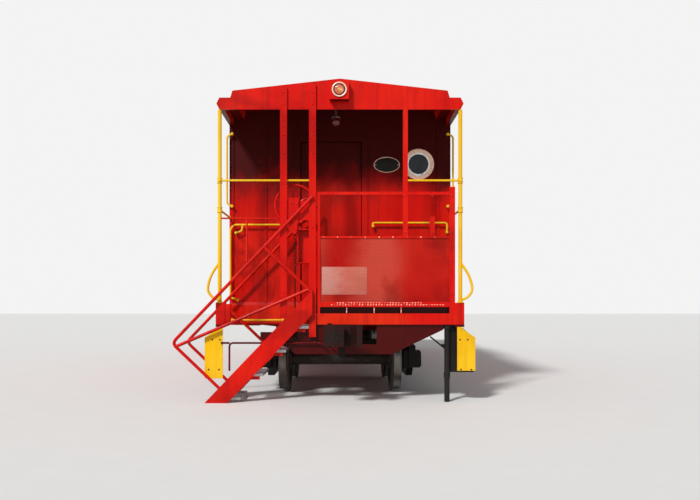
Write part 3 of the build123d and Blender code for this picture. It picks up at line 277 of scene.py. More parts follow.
def enamel(name, colour, faded, deep, dust, gloss=0.30, wear=0.5, sill_shade=None, shade=None):
    """Sprayed enamel: fading, streaks, broad clouds of painted dappled shade, dust on level faces,
    painted shade on the faces turned down, painted shade behind and below the end sills where
    sill_shade is given, and worn edges and chips."""
    coat = Finish(name)
    fade, streak, peel = aged(coat)
    blotch = coat.ramp(coat.noise((5.0, 5.0, 4.0), 6.0, 0.65, 0.4), 0.5, 0.8)
    # Painted shade: broad dark clouds laid over the paint like dappled shade.
    shade_cloud = coat.ramp(coat.noise((0.8, 0.5, 1.1), 5.0, 0.6, 0.8, (4.0, 0.0, 2.0)), 0.50, 0.66)
    tone = coat.mix(fade * 0.55, colour, faded)
    tone = coat.mix(shade_cloud * 0.45, tone, deep)
    tone = coat.mix(streak * 0.45, tone, deep)
    tone = coat.mix(blotch * 0.20, tone, faded)
    level = coat.ramp(coat.facing(2), 0.45, 0.95)
    dusty = level * coat.ramp(coat.noise((30.0, 30.0, 30.0), 6.0, 0.7), 0.25, 0.7) * 0.5
    tone = coat.mix(dusty, tone, dust)
    # Painted shade: faces turned down go to the shade colour.
    under = coat.ramp(0.0 - coat.facing(2), 0.5, 0.95)
    tone = coat.mix(under * 0.9, tone, shade or deep)
    # Painted shade of the sill's overhang: behind the sill's front face and below its lower edge the colour
    # goes dark.
    if sill_shade:
        depth = abs(coat.axis(1))
        setback = coat.ramp(depth, 5.236, 5.228)
        low = coat.ramp(coat.axis(2), 0.935, 0.915)
        overlay = (setback + low - setback * low) * coat.ramp(depth, 4.9, 5.0)
        tone = coat.mix(overlay * 0.95, tone, sill_shade)
    rubbed = coat.edges(0.006) * coat.ramp(coat.noise((22.0, 22.0, 22.0), 5.0, 0.7), 0.52, 0.62) * wear
    tone = coat.mix(rubbed, tone, (0.16, 0.06, 0.035))
    chip = coat.ramp(coat.noise((46.0, 46.0, 40.0), 3.0, 0.6), 0.74, 0.78) * wear
    tone = coat.mix(chip, tone, (0.10, 0.03, 0.02))
    dull = fade * 0.10 + streak * 0.08 + dusty * 0.5 + rubbed * 0.4 + chip * 0.4 + gloss
    return coat.finish({
        "Base Color": tone, "Roughness": dull, "Normal": coat.bump(peel - chip * 0.6, 0.0008),
        "Coat Weight": (1.0 - dusty) * 0.04, "Coat Roughness": 0.12, "Specular IOR Level": 0.12})


def bolts(places, axis, radius, height):
    """Bolt heads: a low dome of eight sides on each place, standing along the axis."""
    dome = [(-0.001, radius), (0.0, radius), (height * 0.6, radius * 0.86), (height, radius * 0.35),
            (height, 0.0)]
    return [lathe(dome, place, axis, 8) for place in places]


def side_bolts(x, places, radius, height):
    """Bolt heads at each (Y, Z) on both sides of the car, standing out from its middle."""
    heads = []
    for side in (-1, 1):
        heads += bolts([(side * x, y, z) for y, z in places], (side, 0, 0), radius, height)
    return heads


black_paint = enamel("black_paint", (0.012, 0.011, 0.010), (0.030, 0.026, 0.022), (0.006, 0.005, 0.005),
                     (0.075, 0.058, 0.042), gloss=0.5)
dress(black_paint, "truck_frames_near", "truck_frames_far", "truck_bolster_near", "truck_bolster_far",
      "step_frames")
for end, truck in ((-1, "near"), (1, "far")):
    lid_bolts = [(end * truck_y + row * axle_off + out * lid_bolt_y, wheel_r + up * lid_bolt_z)
                 for row in (-1, 1) for out in (-1, 1) for up in (-1, 1)]
    build(f"journal_bolts_{truck}", side_bolts(journal_lid_x, lid_bolts, 0.014, 0.009), black_paint,
          f"truck_{truck}")

# Underframe and end sills: welded plate, the sills in the body's red with painted shade behind
# and below their front faces, the members under the floor in a much darker red that is road
# dirt and painted shade together.
red_enamel = enamel("red_enamel", (0.62, 0.0036, 0.0012), (0.80, 0.020, 0.004), (0.20, 0.0008, 0.0008),
                    (0.42, 0.075, 0.035), shade=(0.035, 0.0006, 0.0006))
# The sills' red, with painted shade on the beam behind and below the sill's face.
sill_red = enamel("sill_red", (0.62, 0.0040, 0.0012), (0.84, 0.045, 0.006), (0.24, 0.0010, 0.0008),
                  (0.42, 0.075, 0.035), sill_shade=(0.030, 0.0008, 0.0008))
# A much darker copy of the red: road dirt and painted shade under the floor.
grimy_shaded_red = enamel("grimy_shaded_red", (0.11, 0.002, 0.002), (0.17, 0.006, 0.004), (0.02, 0.001, 0.001),
                   (0.10, 0.05, 0.03), gloss=0.55)
dress(sill_red, "end_sills")
dress(grimy_shaded_red, "underframe")

# Body: welded steel sheet in a red gloss enamel that has faded and streaked. The end walls and
# doors are darkened from the ceiling down by painted shade of the roof's overhang, with painted
# dappled shade in patches below it.
shade_top, shade_foot = 3.05, 2.35
dress(red_enamel, "side_wall_left", "side_wall_right", "bay_left", "bay_right", "roof", "roof_fascias")
ends = Finish("end_red")
fade, streak, peel = aged(ends)
shade_cloud = ends.noise((2.4, 2.4, 1.5), 4.0, 0.6, 0.8)
height = ends.axis(2) + shade_cloud * 0.9 - 0.45
# Painted shade of the roof's overhang: dark above the top level, gone by the foot level, with a wavy edge.
overhang_shade = ends.ramp(height, shade_foot, shade_top)
# Painted dappled shade: dark patches on the wall below the overhang's shade.
patch = ends.ramp(shade_cloud, 0.48, 0.66) * ends.ramp(height, shade_foot + 0.2, shade_foot - 0.5)
tone = ends.mix(fade * 0.5, (0.56, 0.0036, 0.0012), (0.74, 0.020, 0.004))
tone = ends.mix(patch * 0.6, tone, (0.14, 0.0006, 0.0006))
tone = ends.mix(streak * 0.35, tone, (0.14, 0.0006, 0.0006))
tone = ends.mix(overhang_shade * 0.95, tone, (0.026, 0.0006, 0.0006))
tone = ends.mix(ends.ramp(ends.facing(2), 0.45, 0.95) * 0.4, tone, (0.30, 0.06, 0.03))
chip = ends.ramp(ends.noise((46.0, 46.0, 40.0), 3.0, 0.6), 0.75, 0.79) * 0.5
tone = ends.mix(chip, tone, (0.10, 0.03, 0.02))
end_red = ends.finish({
    "Base Color": tone, "Roughness": fade * 0.1 + overhang_shade * 0.25 + 0.32, "Normal": ends.bump(peel, 0.0008),
    "Coat Weight": (1.0 - overhang_shade) * 0.04, "Coat Roughness": 0.12, "Specular IOR Level": 0.10})
dress(end_red, "end_wall_near", "end_wall_far", "door_near", "door_far")

# Roof seams: the roof's sheets meet under eight flat cap strips of the same steel, which are
# welded down from eave to eave and painted with the roof.
seam_w, seam_t = 0.045, 0.004
# Columns: distance from the middle, level
roof_line = [(-1.4, 3.7), (-1.341, 3.7), (-1.317, 3.785), (0, 3.932),
             (1.317, 3.785), (1.341, 3.7), (1.4, 3.7)]


def seam(y):
    """Strip along the roof's slopes from eave to peak and down, one ring at each corner."""
    crest = np.array(roof_line)
    ring = np.array([(-seam_w / 2, -0.004), (-seam_w / 2, seam_t * 0.4), (-seam_w / 4, seam_t),
                     (seam_w / 4, seam_t), (seam_w / 2, seam_t * 0.4), (seam_w / 2, -0.004)])
    grid = (len(crest), len(ring))
    across = np.broadcast_to(y + ring[None, :, 0], grid)
    return np.stack([np.broadcast_to(crest[:, :1], grid), across, crest[:, 1:] + ring[None, :, 1]], axis=2)


build("roof_seams", [seam(y) for y in np.linspace(-4.45, 4.45, 8)], red_enamel)

# Side seams and sills: each joint of the side sheets has a riveted cover strip, the sheets are
# riveted to the sills, and a bent drip rail is welded over each window.
wall_x, strip_x, bay_x = 1.475, 1.479, 1.755
window_y, bay_window_y, rail_half = 2.9, 0.52, 0.40


def box_about(low, high, edge=0.003):
    """Block with rounded edges: rings of a rectangle with quarter-circle corners that draw in by
    a quarter circle at the foot and the top."""
    low, high = np.minimum(low, high), np.maximum(low, high)
    edge = min(edge, 0.49 * (high - low).min())
    turn = np.linspace(0, pi / 2, 4)
    angles = (turn + np.arange(4)[:, None] * pi / 2).ravel()
    corner = np.repeat([(1, 1), (-1, 1), (-1, -1), (1, -1)], 4, axis=0)
    drawn = edge * (1 - np.sin(np.concatenate([turn, turn[::-1]])))
    lift = edge * (1 - np.cos(turn))
    level = np.concatenate([low[2] + lift, high[2] - lift[::-1]])
    middle, half = (low + high)[:2] / 2, (high - low)[:2] / 2
    arc = (edge - drawn)[:, None, None] * np.stack([np.cos(angles), np.sin(angles)], 1)
    flat = middle + corner * (half - edge) + arc
    return np.concatenate([flat, np.broadcast_to(level[:, None, None], flat.shape[:2] + (1,))], axis=2)


seam_places = (-3.75, -2.05, 2.05, 3.75)
strips = []
for side in (-1, 1):
    strips += [box_about((side * 1.470, y - 0.030, 1.203), (side * strip_x, y + 0.030, 3.552), 0.002)
               for y in seam_places]
    for x, window in ((wall_x, window_y), (bay_x, bay_window_y)):
        strips += [box_about((side * (x - 0.003), y - rail_half, 3.000),
                             (side * (x + 0.014), y + rail_half, 3.012), 0.002) for y in (-window, window)]
build("side_strips", strips, red_enamel)
strip_rivets = [(y + across, z) for y in seam_places for z in np.arange(1.26, 3.53, 0.075)
                for across in (-0.018, 0.018)]
sill_rivets = [(y, z) for z in (1.225, 1.125) for y in np.arange(-4.33, 4.34, 0.0925)]
side_rivets = side_bolts(strip_x, strip_rivets, 0.009, 0.005)
side_rivets += side_bolts(wall_x, sill_rivets, 0.009, 0.005)
build("side_rivets", side_rivets, red_enamel)

# Portholes and windows: cast bezels screwed over the panes, bright frames bedded in rubber, and
# glass that reflects the sky, made dark and partly opaque as painted shade of the unlit cabin.
end_wall_y = -4.45
outward = (0, -1, 0)
porthole = np.array((1.045, end_wall_y, 3.035))


def both_ends(patches):
    """The patches, and the same half a turn round at the far end."""
    return patches + [patch * (-1, -1, 1) for patch in patches]


bezel = Finish("bright_frame")
scuff = bezel.ramp(bezel.noise((60.0, 60.0, 60.0), 6.0, 0.7), 0.4, 0.75)
bright_frame = bezel.finish({
    "Base Color": bezel.mix(scuff, (0.86, 0.60, 0.44), (0.62, 0.30, 0.20)), "Metallic": 0.35,
    "Roughness": scuff * 0.2 + 0.28, "Normal": bezel.bump(scuff, 0.0003)})
# Columns: distance out from the wall, radius
bezel_profile = [(0.0, 0.2065), (0.0258, 0.2065), (0.0278, 0.2030), (0.0285, 0.1940), (0.0275, 0.1720),
                 (0.0285, 0.1580), (0.0270, 0.1545), (0.0240, 0.1530), (0.0, 0.1530), (0.0, 0.2065)]
seal_profile = [(0.0, 0.1535), (0.0225, 0.1535), (0.0235, 0.1510), (0.0235, 0.1390), (0.0200, 0.1310),
                (0.0, 0.1295), (0.0, 0.1535)]
build("porthole_bezels", both_ends([lathe(bezel_profile, porthole, outward, 64)]), bright_frame)
screws = [porthole + (0.178 * cos(a), -0.027, 0.178 * sin(a))
          for a in np.linspace(0, 2 * pi, 8, endpoint=False) + 0.2]

mill = Finish("window_alloy")
dull = mill.ramp(mill.noise((30.0, 30.0, 4.0), 6.0, 0.7), 0.4, 0.75)
window_alloy = mill.finish({
    "Base Color": mill.mix(dull, (0.66, 0.66, 0.66), (0.42, 0.41, 0.40)), "Metallic": 0.85,
    "Roughness": dull * 0.25 + 0.28, "Normal": mill.bump(dull, 0.0003)})
dress(window_alloy, "window_frames")

glass = Finish("window_glass")
overlay = glass.ramp(glass.noise((4.0, 4.0, 4.0), 6.0, 0.7), 0.4, 0.8)
# Painted shade: the panes are near black and partly opaque, for the unlit cabin behind them.
clear = glass.finish({
    "Base Color": glass.mix(overlay * 0.5, (0.010, 0.018, 0.032), (0.075, 0.085, 0.10)),
    "Roughness": overlay * 0.12 + 0.03, "Alpha": overlay * 0.2 + 0.6, "Specular IOR Level": 0.45})
dress(clear, "window_panes")

gasket = Finish("gasket_rubber")
perished = gasket.noise((60.0, 60.0, 60.0), 5.0)
gasket_rubber = gasket.finish({
    "Base Color": gasket.mix(perished, (0.012, 0.012, 0.012), (0.035, 0.033, 0.030)),
    "Roughness": 0.7, "Normal": gasket.bump(perished, 0.0005)})
bars = []
for side in (-1, 1):
    # Columns: pane's face, window's place, pane's half width
    for x, place, half in ((1.449, window_y, 0.27), (1.734, bay_window_y, 0.34)):
        for y in (-place, place):
            low, high = np.array((side * x, y, 2.21)), np.array((side * x, y, 2.89))
            bars.append(box_about(low - (0.011, 0.012, 0), high + (0.011, 0.012, 0)))
            for z in (2.212, 2.888):
                middle = np.array((side * x, y, z))
                bars.append(box_about(middle - (0.012, half, 0.006), middle + (0.012, half, 0.006)))
build("window_gaskets", bars, gasket_rubber)
build("porthole_seals", both_ends([lathe(seal_profile, porthole, outward, 48)]), gasket_rubber)

# End railings and panel: flat bar and tube welded up in the body's red, with a perforated
# sheet riveted into the frame and bolts through the stiles.
front_y, stile_y = -5.25, -5.28
hole_pitch = 0.026
row_pitch = hole_pitch * sqrt(3)


def perforation(finish):
    """Solid metal as 1 and holes as 0: two grids of round holes, one shifted half a cell each way,
    cut where the squared width of the circle through the spot is small."""
    across, up = finish.axis(0), finish.axis(2)
    hole_a = across.cell(hole_pitch) ** 2 * hole_pitch ** 2 + up.cell(row_pitch) ** 2 * row_pitch ** 2
    across, up = across + hole_pitch / 2, up + row_pitch / 2
    hole_b = across.cell(hole_pitch) ** 2 * hole_pitch ** 2 + up.cell(row_pitch) ** 2 * row_pitch ** 2
    return finish.ramp(hole_a.math("MINIMUM", hole_a, hole_b), 0.0110 ** 2, 0.0135 ** 2)


def on_front(*places, y=front_y):
    """Points of the near end's front plane at each (X, Z)."""
    return [np.array((x, y, z)) for x, z in places]


dress(red_enamel, "end_railings")
sheet = Finish("perforated_red")
fade = sheet.ramp(sheet.noise((1.3, 1.3, 1.3), 4.0, 0.6, 0.6), 0.35, 0.65)
# A paler, pinker band about 0.46 m either side of the middle, made uneven by noise.
from_pale_band = abs(abs(sheet.axis(0)) - 0.46) + sheet.noise((2.0, 2.0, 1.5), 4.0) * 0.5
tone = sheet.mix(fade * 0.6, (0.42, 0.0030, 0.0012), (0.60, 0.022, 0.006))
tone = sheet.mix(sheet.ramp(from_pale_band, 0.65, 0.25) * 0.6, tone, (0.56, 0.095, 0.060))
stain = sheet.ramp(sheet.noise((3.0, 3.0, 2.0), 5.0), 0.5, 0.7)
tone = sheet.mix(stain * 0.6, tone, (0.16, 0.0008, 0.0008))
perforated = sheet.finish({"Base Color": tone, "Roughness": fade * 0.12 + 0.34, "Alpha": perforation(sheet),
                           "Specular IOR Level": 0.15})
dress(perforated, "mesh_panels")

# Rivet heads: red with near-white patches that are both bare worn metal and painted glints of sun.
worn = Finish("worn_glinting_rivets")
bare = worn.ramp(worn.noise((40.0, 40.0, 40.0), 2.0), 0.42, 0.55)
worn_glinting_rivets = worn.finish({"Base Color": worn.mix(bare, (0.50, 0.05, 0.03), (0.95, 0.72, 0.55)),
                           "Metallic": bare * 0.4, "Roughness": 0.35})
rivets = on_front(*[(x, 1.165) for x in np.arange(-0.10, 1.28, 0.034)],
                  *[(x, 1.189) for x in np.arange(-0.03, 1.02, 0.034)],
                  *[(x, 1.992) for x in np.arange(-0.20, 1.33, 0.17)])
build("panel_rivets", both_ends(bolts(rivets, outward, 0.0075, 0.005)), worn_glinting_rivets)
stile_levels = (1.163, 1.322, 2.11, 3.017, 3.237, 3.346, 3.62, 3.76)
frame_bolts = on_front(*[(x, z) for x in (-0.6885, -0.3355) for z in stile_levels], y=stile_y)
frame_bolts += on_front(*[(x, z) for x in (0.80, 1.128, 1.373) for z in (2.05, 2.5)])
frame_bolts += on_front((1.373, 1.0), (1.373, 1.3), (1.373, 1.7))
build("railing_bolts", both_ends(bolts(frame_bolts, outward, 0.013, 0.009)), red_enamel)

# Slot under the panel: the edges of the three stays that cross it, worn bare and brightened by
# painted glints, and the plate welded in to close the gap between the corner box and the wall
# beside the stair.
stay_places, stay_half = (0.081, 0.417, 0.747), 0.005
stays = [box_about((x - stay_half, front_y - 0.0003, 1.068), (x + stay_half, front_y + 0.0015, 1.128), 0.0006)
         for x in stay_places]
build("slot_stays", both_ends(stays), worn_glinting_rivets)
build("corner_closure", [box_about((-1.405, -5.244, 0.935), (-1.338, -5.200, 1.178))], sill_red)

# Bare plates: a faded sheet on the panel, and an oval casting with a bright rim screwed to the
# wall; both are blank.
panel_y, plate_t = -5.2375, 0.004
plaque_x, plaque_z = 0.624, 3.03
chalk = Finish("faded_plate")
wash = chalk.ramp(chalk.noise((5.0, 5.0, 9.0), 6.0, 0.7), 0.35, 0.7)
side_on = chalk.ramp(0.0 - chalk.axis(0) + wash * 0.12, -0.02, 0.26)
tone = chalk.mix(wash * 0.5, (0.52, 0.115, 0.080), (0.58, 0.20, 0.15))
tone = chalk.mix(side_on * 0.5, tone, (0.56, 0.34, 0.29))
# Painted shade: darker dots in the perforation's pattern, where the sheet's holes would show the shaded wall
# behind.
tone = chalk.mix((1.0 - perforation(chalk)) * 0.45, tone, (0.26, 0.05, 0.035))
faded_plate = chalk.finish({"Base Color": tone, "Roughness": 0.5 - wash * 0.15, "Specular IOR Level": 0.25})
plate = box_about((-0.222, panel_y - plate_t, 1.29), (0.330, panel_y, 1.63), 0.0015)
build("panel_plate", [plate], faded_plate)


def oval(wide, tall, profile):
    """Ellipses round the plaque's middle that stand out from the wall by the profile's first
    column and are drawn in by its second."""
    out, inset = np.array(profile).T[..., None]
    turn = np.linspace(0, 2 * pi, 48, endpoint=False)
    x, z = (wide - inset) * np.cos(turn), (tall - inset) * np.sin(turn)
    return np.stack([x, np.broadcast_to(-out, x.shape), z], axis=2) + (plaque_x, end_wall_y, plaque_z)


cast = Finish("black_casting")
pit = cast.noise((90.0, 90.0, 90.0), 5.0)
black_casting = cast.finish({
    "Base Color": cast.mix(pit, (0.006, 0.006, 0.006), (0.022, 0.020, 0.018)), "Roughness": pit * 0.2 + 0.3,
    "Normal": cast.bump(pit, 0.0004), "Specular IOR Level": 0.12})
plaque_face = [(0, 0), (0.008, 0), (0.010, 0.004), (0.010, 0.0999)]
plaque_rim = [(0, 0), (0.010, 0), (0.014, 0.003), (0.014, 0.008), (0.010, 0.011), (0, 0.011), (0, 0)]
build("oval_plate", both_ends([oval(0.170, 0.100, plaque_face)]), black_casting)
build("oval_rim", both_ends([oval(0.175, 0.105, plaque_rim)]), bright_frame)
screws += [np.array((plaque_x + x, end_wall_y - 0.010, plaque_z)) for x in (-0.15, 0.15)]
build("wall_screws", both_ends(bolts(screws, outward, 0.0075, 0.004)), bright_frame)

# Corner pipework: steel tube in yellow safety enamel, scuffed where hands slide. Each post is
# braced to the body, bows out at its foot, and takes the level rails in tees.
post_y, post_r, rail_r, bow_r = -5.225, 0.024, 0.013, 0.016
brace_z, rail_z, rail_y = 2.33, 2.688, -5.237
yellow_enamel = enamel("yellow_enamel", (0.86, 0.48, 0.003), (0.88, 0.60, 0.045), (0.60, 0.29, 0.003),
                       (0.60, 0.42, 0.12), gloss=0.32, wear=0.7)


def tube(points, radius, bend=0.03, around=12):
    """Tube: its line runs straight and takes each corner on a parabola that starts one bend
    before it, and a ring of the radius stands square to the line at each point."""
    points = np.array(points, dtype=float)
    corner = points[1:-1, None]
    leads = []
    for other in (points[:-2, None], points[2:, None]):
        step = other - corner
        far = np.linalg.norm(step, axis=2, keepdims=True)
        leads.append(corner + step / far * np.minimum(bend, 0.45 * far))
    t = np.linspace(0, 1, 7)[:, None]
    arcs = (1 - t) ** 2 * leads[0] + 2 * t * (1 - t) * corner + t ** 2 * leads[1]
    line = np.concatenate([points[:1], arcs.reshape(-1, 3), points[-1:]])
    along = np.gradient(line, axis=0)
    along /= np.linalg.norm(along, axis=1, keepdims=True)
    return line[:, None] + radius * spokes(along, around)


def ball(centre, radius):
    """Ball: half circles swung round an upright axis."""
    swing = np.linspace(0, pi, 9)
    return lathe(np.stack([-radius * np.cos(swing), radius * np.sin(swing)], 1), centre, (0, 0, 1), 14)


def sleeve(centre, radius, half):
    """Pipe fitting: a thick band with rolled lips round an upright tube."""
    lower = [(-half, radius), (-half, radius + 0.008), (-half + 0.006, radius + 0.010),
             (-half + 0.012, radius + 0.006)]
    return lathe(lower + [(-along, r) for along, r in reversed(lower)], centre, (0, 0, 1), 20)


# Columns: distance out from the post, level
bow = [(0, 1.688), (0.110, 1.529), (0.158, 1.346), (0.086, 1.249), (0, 1.226)]
foot_flange = [(0, 0.045), (0.008, 0.045), (0.010, 0.030), (0.026, 0.028), (0.028, 0.024)]
pipework = []
for side in (-1, 1):
    x = side * wall_x
    pipework += [tube([(x, post_y, 1.19), (x, post_y, 3.554)], post_r, around=20),
                 tube([(x, post_y, brace_z), (x, end_wall_y, brace_z)], rail_r),
                 tube([(x + side * out, post_y, z) for out, z in bow], bow_r, 0.09),
                 ball((x, -5.243, rail_z), 0.027), ball((x, -4.462, brace_z), 0.024),
                 lathe(foot_flange, (x, post_y, 1.191), (0, 0, 1), 24)]
    pipework += [sleeve((x, post_y, z), post_r, 0.034) for z in (brace_z, rail_z)]
for x0, x1 in ((-wall_x, -0.3355), (0.83, wall_x)):
    pipework.append(tube([(x0, rail_y, rail_z), (x1, rail_y, rail_z)], rail_r))
build("corner_pipework", both_ends(pipework), yellow_enamel, stands_for=["corner_handrails"])

# Grab irons: bent round bar in the same yellow, on the end walls and below the floor. Each
# foot stands off the wall on a short leg with a ball-shaped boss.
iron_y, iron_r, iron_bend, boss_r = -4.51, 0.013, 0.035, 0.021
hooked = [(-1.29, iron_y, 2.225), (-1.30, iron_y, 2.14), (-1.38, iron_y, 2.118), (-1.38, end_wall_y, 2.118)]
irons = [
    [(-1.355, end_wall_y, 1.23), (-1.355, iron_y, 1.23), (-1.455, iron_y, 1.26), (-1.455, iron_y, 2.17),
     (-1.40, iron_y, 2.225), (-0.747, iron_y, 2.225), (-0.747, end_wall_y, 2.225)],
    [(0.44, end_wall_y, 2.205), (0.44, iron_y, 2.205), (0.432, iron_y, 2.25), (1.419, iron_y, 2.25),
     (1.419, iron_y, 2.125), (1.419, end_wall_y, 2.125)],
    [(-1.43, end_wall_y, 0.96), (-1.43, iron_y, 0.96), (-0.756, iron_y, 0.96), (-0.756, end_wall_y, 0.96)],
]
for side in (-1, 1):
    foot, rod = side * 1.43, side * 1.499
    irons.append([(foot, end_wall_y, 3.43), (foot, iron_y, 3.43), (rod, iron_y, 3.395),
                  (rod, iron_y, 2.505), (foot, iron_y, 2.469), (foot, end_wall_y, 2.469)])
bosses = [route[1] for route in irons] + [route[-2] for route in irons + [hooked]]
iron_work = [tube(route, iron_r, iron_bend) for route in irons + [hooked]]
iron_work += [ball(np.array(boss) + (0, 0.004, 0), boss_r) for boss in bosses]
build("grab_iron_bars", both_ends(iron_work), yellow_enamel, stands_for=["grab_irons"])

# Decks: red tread plate with raised lozenges, welded down on the sills and worn to bare steel
# where feet land.
lozenge_pitch = 0.052
deck = Finish("deck_paint")
slant_a = (deck.axis(0) + deck.axis(1)) * sqrt(0.5)
slant_b = (deck.axis(0) - deck.axis(1)) * sqrt(0.5)
level = deck.ramp(deck.facing(2), 0.7, 0.95)
raised = []
for shift, long, short in ((0.0, slant_a, slant_b), (lozenge_pitch / 2, slant_b, slant_a)):
    lozenge = (long + shift).cell(lozenge_pitch) / 0.72 + (short + shift).cell(lozenge_pitch) / 0.26
    raised.append(1.0 - deck.ramp(lozenge, 0.7, 1.0))
raised = (raised[0] + raised[1]) * level
trodden = deck.ramp(deck.noise((2.2, 2.2, 2.2), 5.0, 0.65), 0.42, 0.62)
bare = raised * trodden * 0.8
tone = deck.mix(trodden * 0.6, (0.24, 0.004, 0.004), (0.12, 0.035, 0.025))
tone = deck.mix(bare, tone, (0.34, 0.30, 0.28))
sill_face = (1.0 - level) * deck.ramp(abs(deck.axis(1)), 5.10, 5.0)
tone = deck.mix(sill_face, tone, (0.60, 0.0040, 0.0012))
deck_paint = deck.finish({"Base Color": tone, "Metallic": bare, "Roughness": 0.62 - bare * 0.25,
                          "Normal": deck.bump(raised, 0.0018)})
dress(deck_paint, "floor_plates")

# Stair: channel stringers bolted to the railing's stile, galvanised bar gratings between them
# for treads, and a welded pipe handrail on each.
slope = radians(46.3)
run, rise = cos(slope), sin(slope)
deck_z, foot_z, stringer_top_z = 1.2, -0.025, 1.343
top_x = -0.3355
foot_x = top_x - (stringer_top_z - foot_z) * run / rise
length = (top_x - foot_x) / run
near_y, far_y, grip_r, grip_bend = -5.31, -4.59, 0.020, 0.07
rail_out, post_along, top_post = 0.787, 0.25, length - 0.024
far_out = rail_out - 0.05 * run


def beside_stair(y, *places):
    """Points at one depth, each so far up the stringer from its foot and out square to it."""
    return [(foot_x + along * run - out * rise, y, foot_z + along * rise + out * run)
            for along, out in places]


dress(red_enamel, "stair_stringers")
far_top = (-0.273 - foot_x + far_out * rise) / run
near_top = length + rail_out * rise / run
near_rail = beside_stair(near_y, (post_along, 0.0), (post_along, rail_out), (near_top, rail_out))
far_rail = beside_stair(far_y, (post_along, 0.0), (post_along, far_out), (far_top, far_out))
near_end_z = near_rail[-1][2]
rails = [tube(near_rail, grip_r, grip_bend, 16),
         tube(far_rail + [(far_rail[-1][0], far_y, deck_z)], grip_r, grip_bend, 16),
         box_about((top_x - 0.02, near_y, near_end_z - 0.04), (top_x + 0.02, stile_y, near_end_z))]
for posts in (beside_stair(near_y, (top_post, 0.0), (top_post, rail_out)),
              beside_stair(near_y, (top_post, 0.04), (post_along, rail_out - 0.06)),
              beside_stair(far_y, (length / 2, 0.0), (length / 2, far_out))):
    rails.append(tube(posts, grip_r, around=16))
build("stair_rails", rails, red_enamel, stands_for=["stair_handrails"])

zinc = Finish("galvanised_steel")
spangle = zinc.add("ShaderNodeTexVoronoi", {}, {"Vector": zinc.where, "Scale": 70.0}, out="Color")
tone = zinc.mix(0.12, (0.40, 0.41, 0.42), spangle)
muddy = zinc.ramp(zinc.noise((12.0, 12.0, 12.0), 6.0, 0.7), 0.5, 0.75)
tone = zinc.mix(muddy * 0.5, tone, (0.16, 0.13, 0.10))
zinc_steel = zinc.finish({"Base Color": tone, "Metallic": 0.8 - muddy * 0.5, "Roughness": muddy * 0.3 + 0.38})
tread_rise, tread_w, tread_count = 0.29, 0.230, 4
tread_y = (-5.278, -4.622)
chain_slot, chain_back_y = (-0.5865, -0.5135), -5.2203
gratings = []
for number in range(1, tread_count + 1):
    x0, z1 = top_x - number * tread_rise * run / rise, deck_z - number * tread_rise
    x1 = x0 + tread_w
    for x in np.linspace(x0 + 0.004, x1 - 0.004, 8):
        slotted = number == 1 and chain_slot[0] - 0.0055 < x < chain_slot[1] + 0.0055
        y0 = chain_back_y if slotted else tread_y[0] + 0.002
        gratings.append(box_about((x - 0.0025, y0, z1 - 0.034), (x + 0.0025, tread_y[1] - 0.002, z1), 0.0008))
    for y in np.arange(-5.20, -4.65, 0.055):
        gratings.append(tube([(x0 + 0.003, y, z1 - 0.005), (x1 - 0.003, y, z1 - 0.005)], 0.0032, around=6))
    for y in tread_y:
        cut = number == 1 and y == tread_y[0]
        for a, b in ((x0, chain_slot[0]), (chain_slot[1], x1)) if cut else ((x0, x1),):
            gratings.append(box_about((a, y - 0.002, z1 - 0.035), (b, y + 0.002, z1), 0.0008))
build("tread_gratings", gratings, zinc_steel, stands_for=["stair_treads"])
stair_bolts = beside_stair(-5.34, *[(along, -0.07) for along in (0.30, 0.75, 1.20, 1.62)])
build("stair_bolts", bolts(stair_bolts, outward, 0.012, 0.009), red_enamel)

# Side steps: folded plates in the posts' yellow, bolted with dark rusty bolts on the outside
# of the black hangers in the wells.
dress(yellow_enamel, "step_plates")
# Columns: distance from the middle, level
plate_bolts = [(1.467, 0.740), (1.561, 0.740), (1.479, 0.374), (1.606, 0.374)]
step_bolts = on_front(*plate_bolts, *[(-x, z) for x, z in plate_bolts])
build("step_plate_bolts", both_ends(bolts(step_bolts, outward, 0.011, 0.006)), black_paint)

# Pole: black pipe from a foot up to the end sill, screwed together at two couplings, with a
# thin brace up to the beam.
pole_x, pole_y, pole_r = 1.315, -5.20, 0.033
pole_parts = [tube([(pole_x, pole_y, foot_z), (pole_x, pole_y, 0.92)], pole_r, around=24),
              tube([(pole_x, pole_y, 0.6093), (1.108, pole_y, 0.7743)], 0.010, around=10),
              sleeve((pole_x, pole_y, 0.895), pole_r, 0.024), sleeve((pole_x, pole_y, 0.30), pole_r, 0.03)]
build("pole_pipe", pole_parts, black_paint, stands_for=["support_pole"])

# Hand brakes: a cast wheel with five spokes on a gear housing, and a chain of welded links
# with a rod down through the platform to the beam.
hub = np.array((-0.56, -5.10, 2.41))
rim_r, rim_t, spoke_lean = 0.243, 0.014, 0.28
chain_x, link_pitch, wire_r = -0.55, 0.0417, 0.0046
rod_top_z, rod_r = 1.6364, 0.008
dress(red_enamel, "brake_stands")
turn = np.linspace(0, 2 * pi, 13)
rim = np.stack([rim_t * np.cos(turn), rim_r + rim_t * np.sin(turn)], 1)
hub_profile = [(-0.030, 0.0), (-0.030, 0.020), (-0.024, 0.034), (-0.012, 0.042), (0.014, 0.044),
               (0.026, 0.030), (0.028, 0.022), (0.066, 0.022)]
wheel = [lathe(rim, hub, (0, 1, 0), 56), lathe(hub_profile, hub, outward, 24)]
for a in np.arange(5) * 2 * pi / 5 + pi / 2:
    arm = np.array((cos(a), 0, sin(a)))
    bent = np.array((cos(a + spoke_lean), 0, sin(a + spoke_lean)))
    wheel.append(tube([hub + arm * 0.03, hub + bent * 0.13, hub + arm * 0.236], 0.010, 0.10, 8))
build("brake_handwheels", both_ends(wheel), red_enamel, stands_for=["brake_wheels"])
housing = on_front(*[(x, z) for x in (-0.60, -0.52) for z in (2.16, 2.40)], y=-5.286)
build("brake_housing_bolts", both_ends(bolts(housing, outward, 0.012, 0.010)), red_enamel)


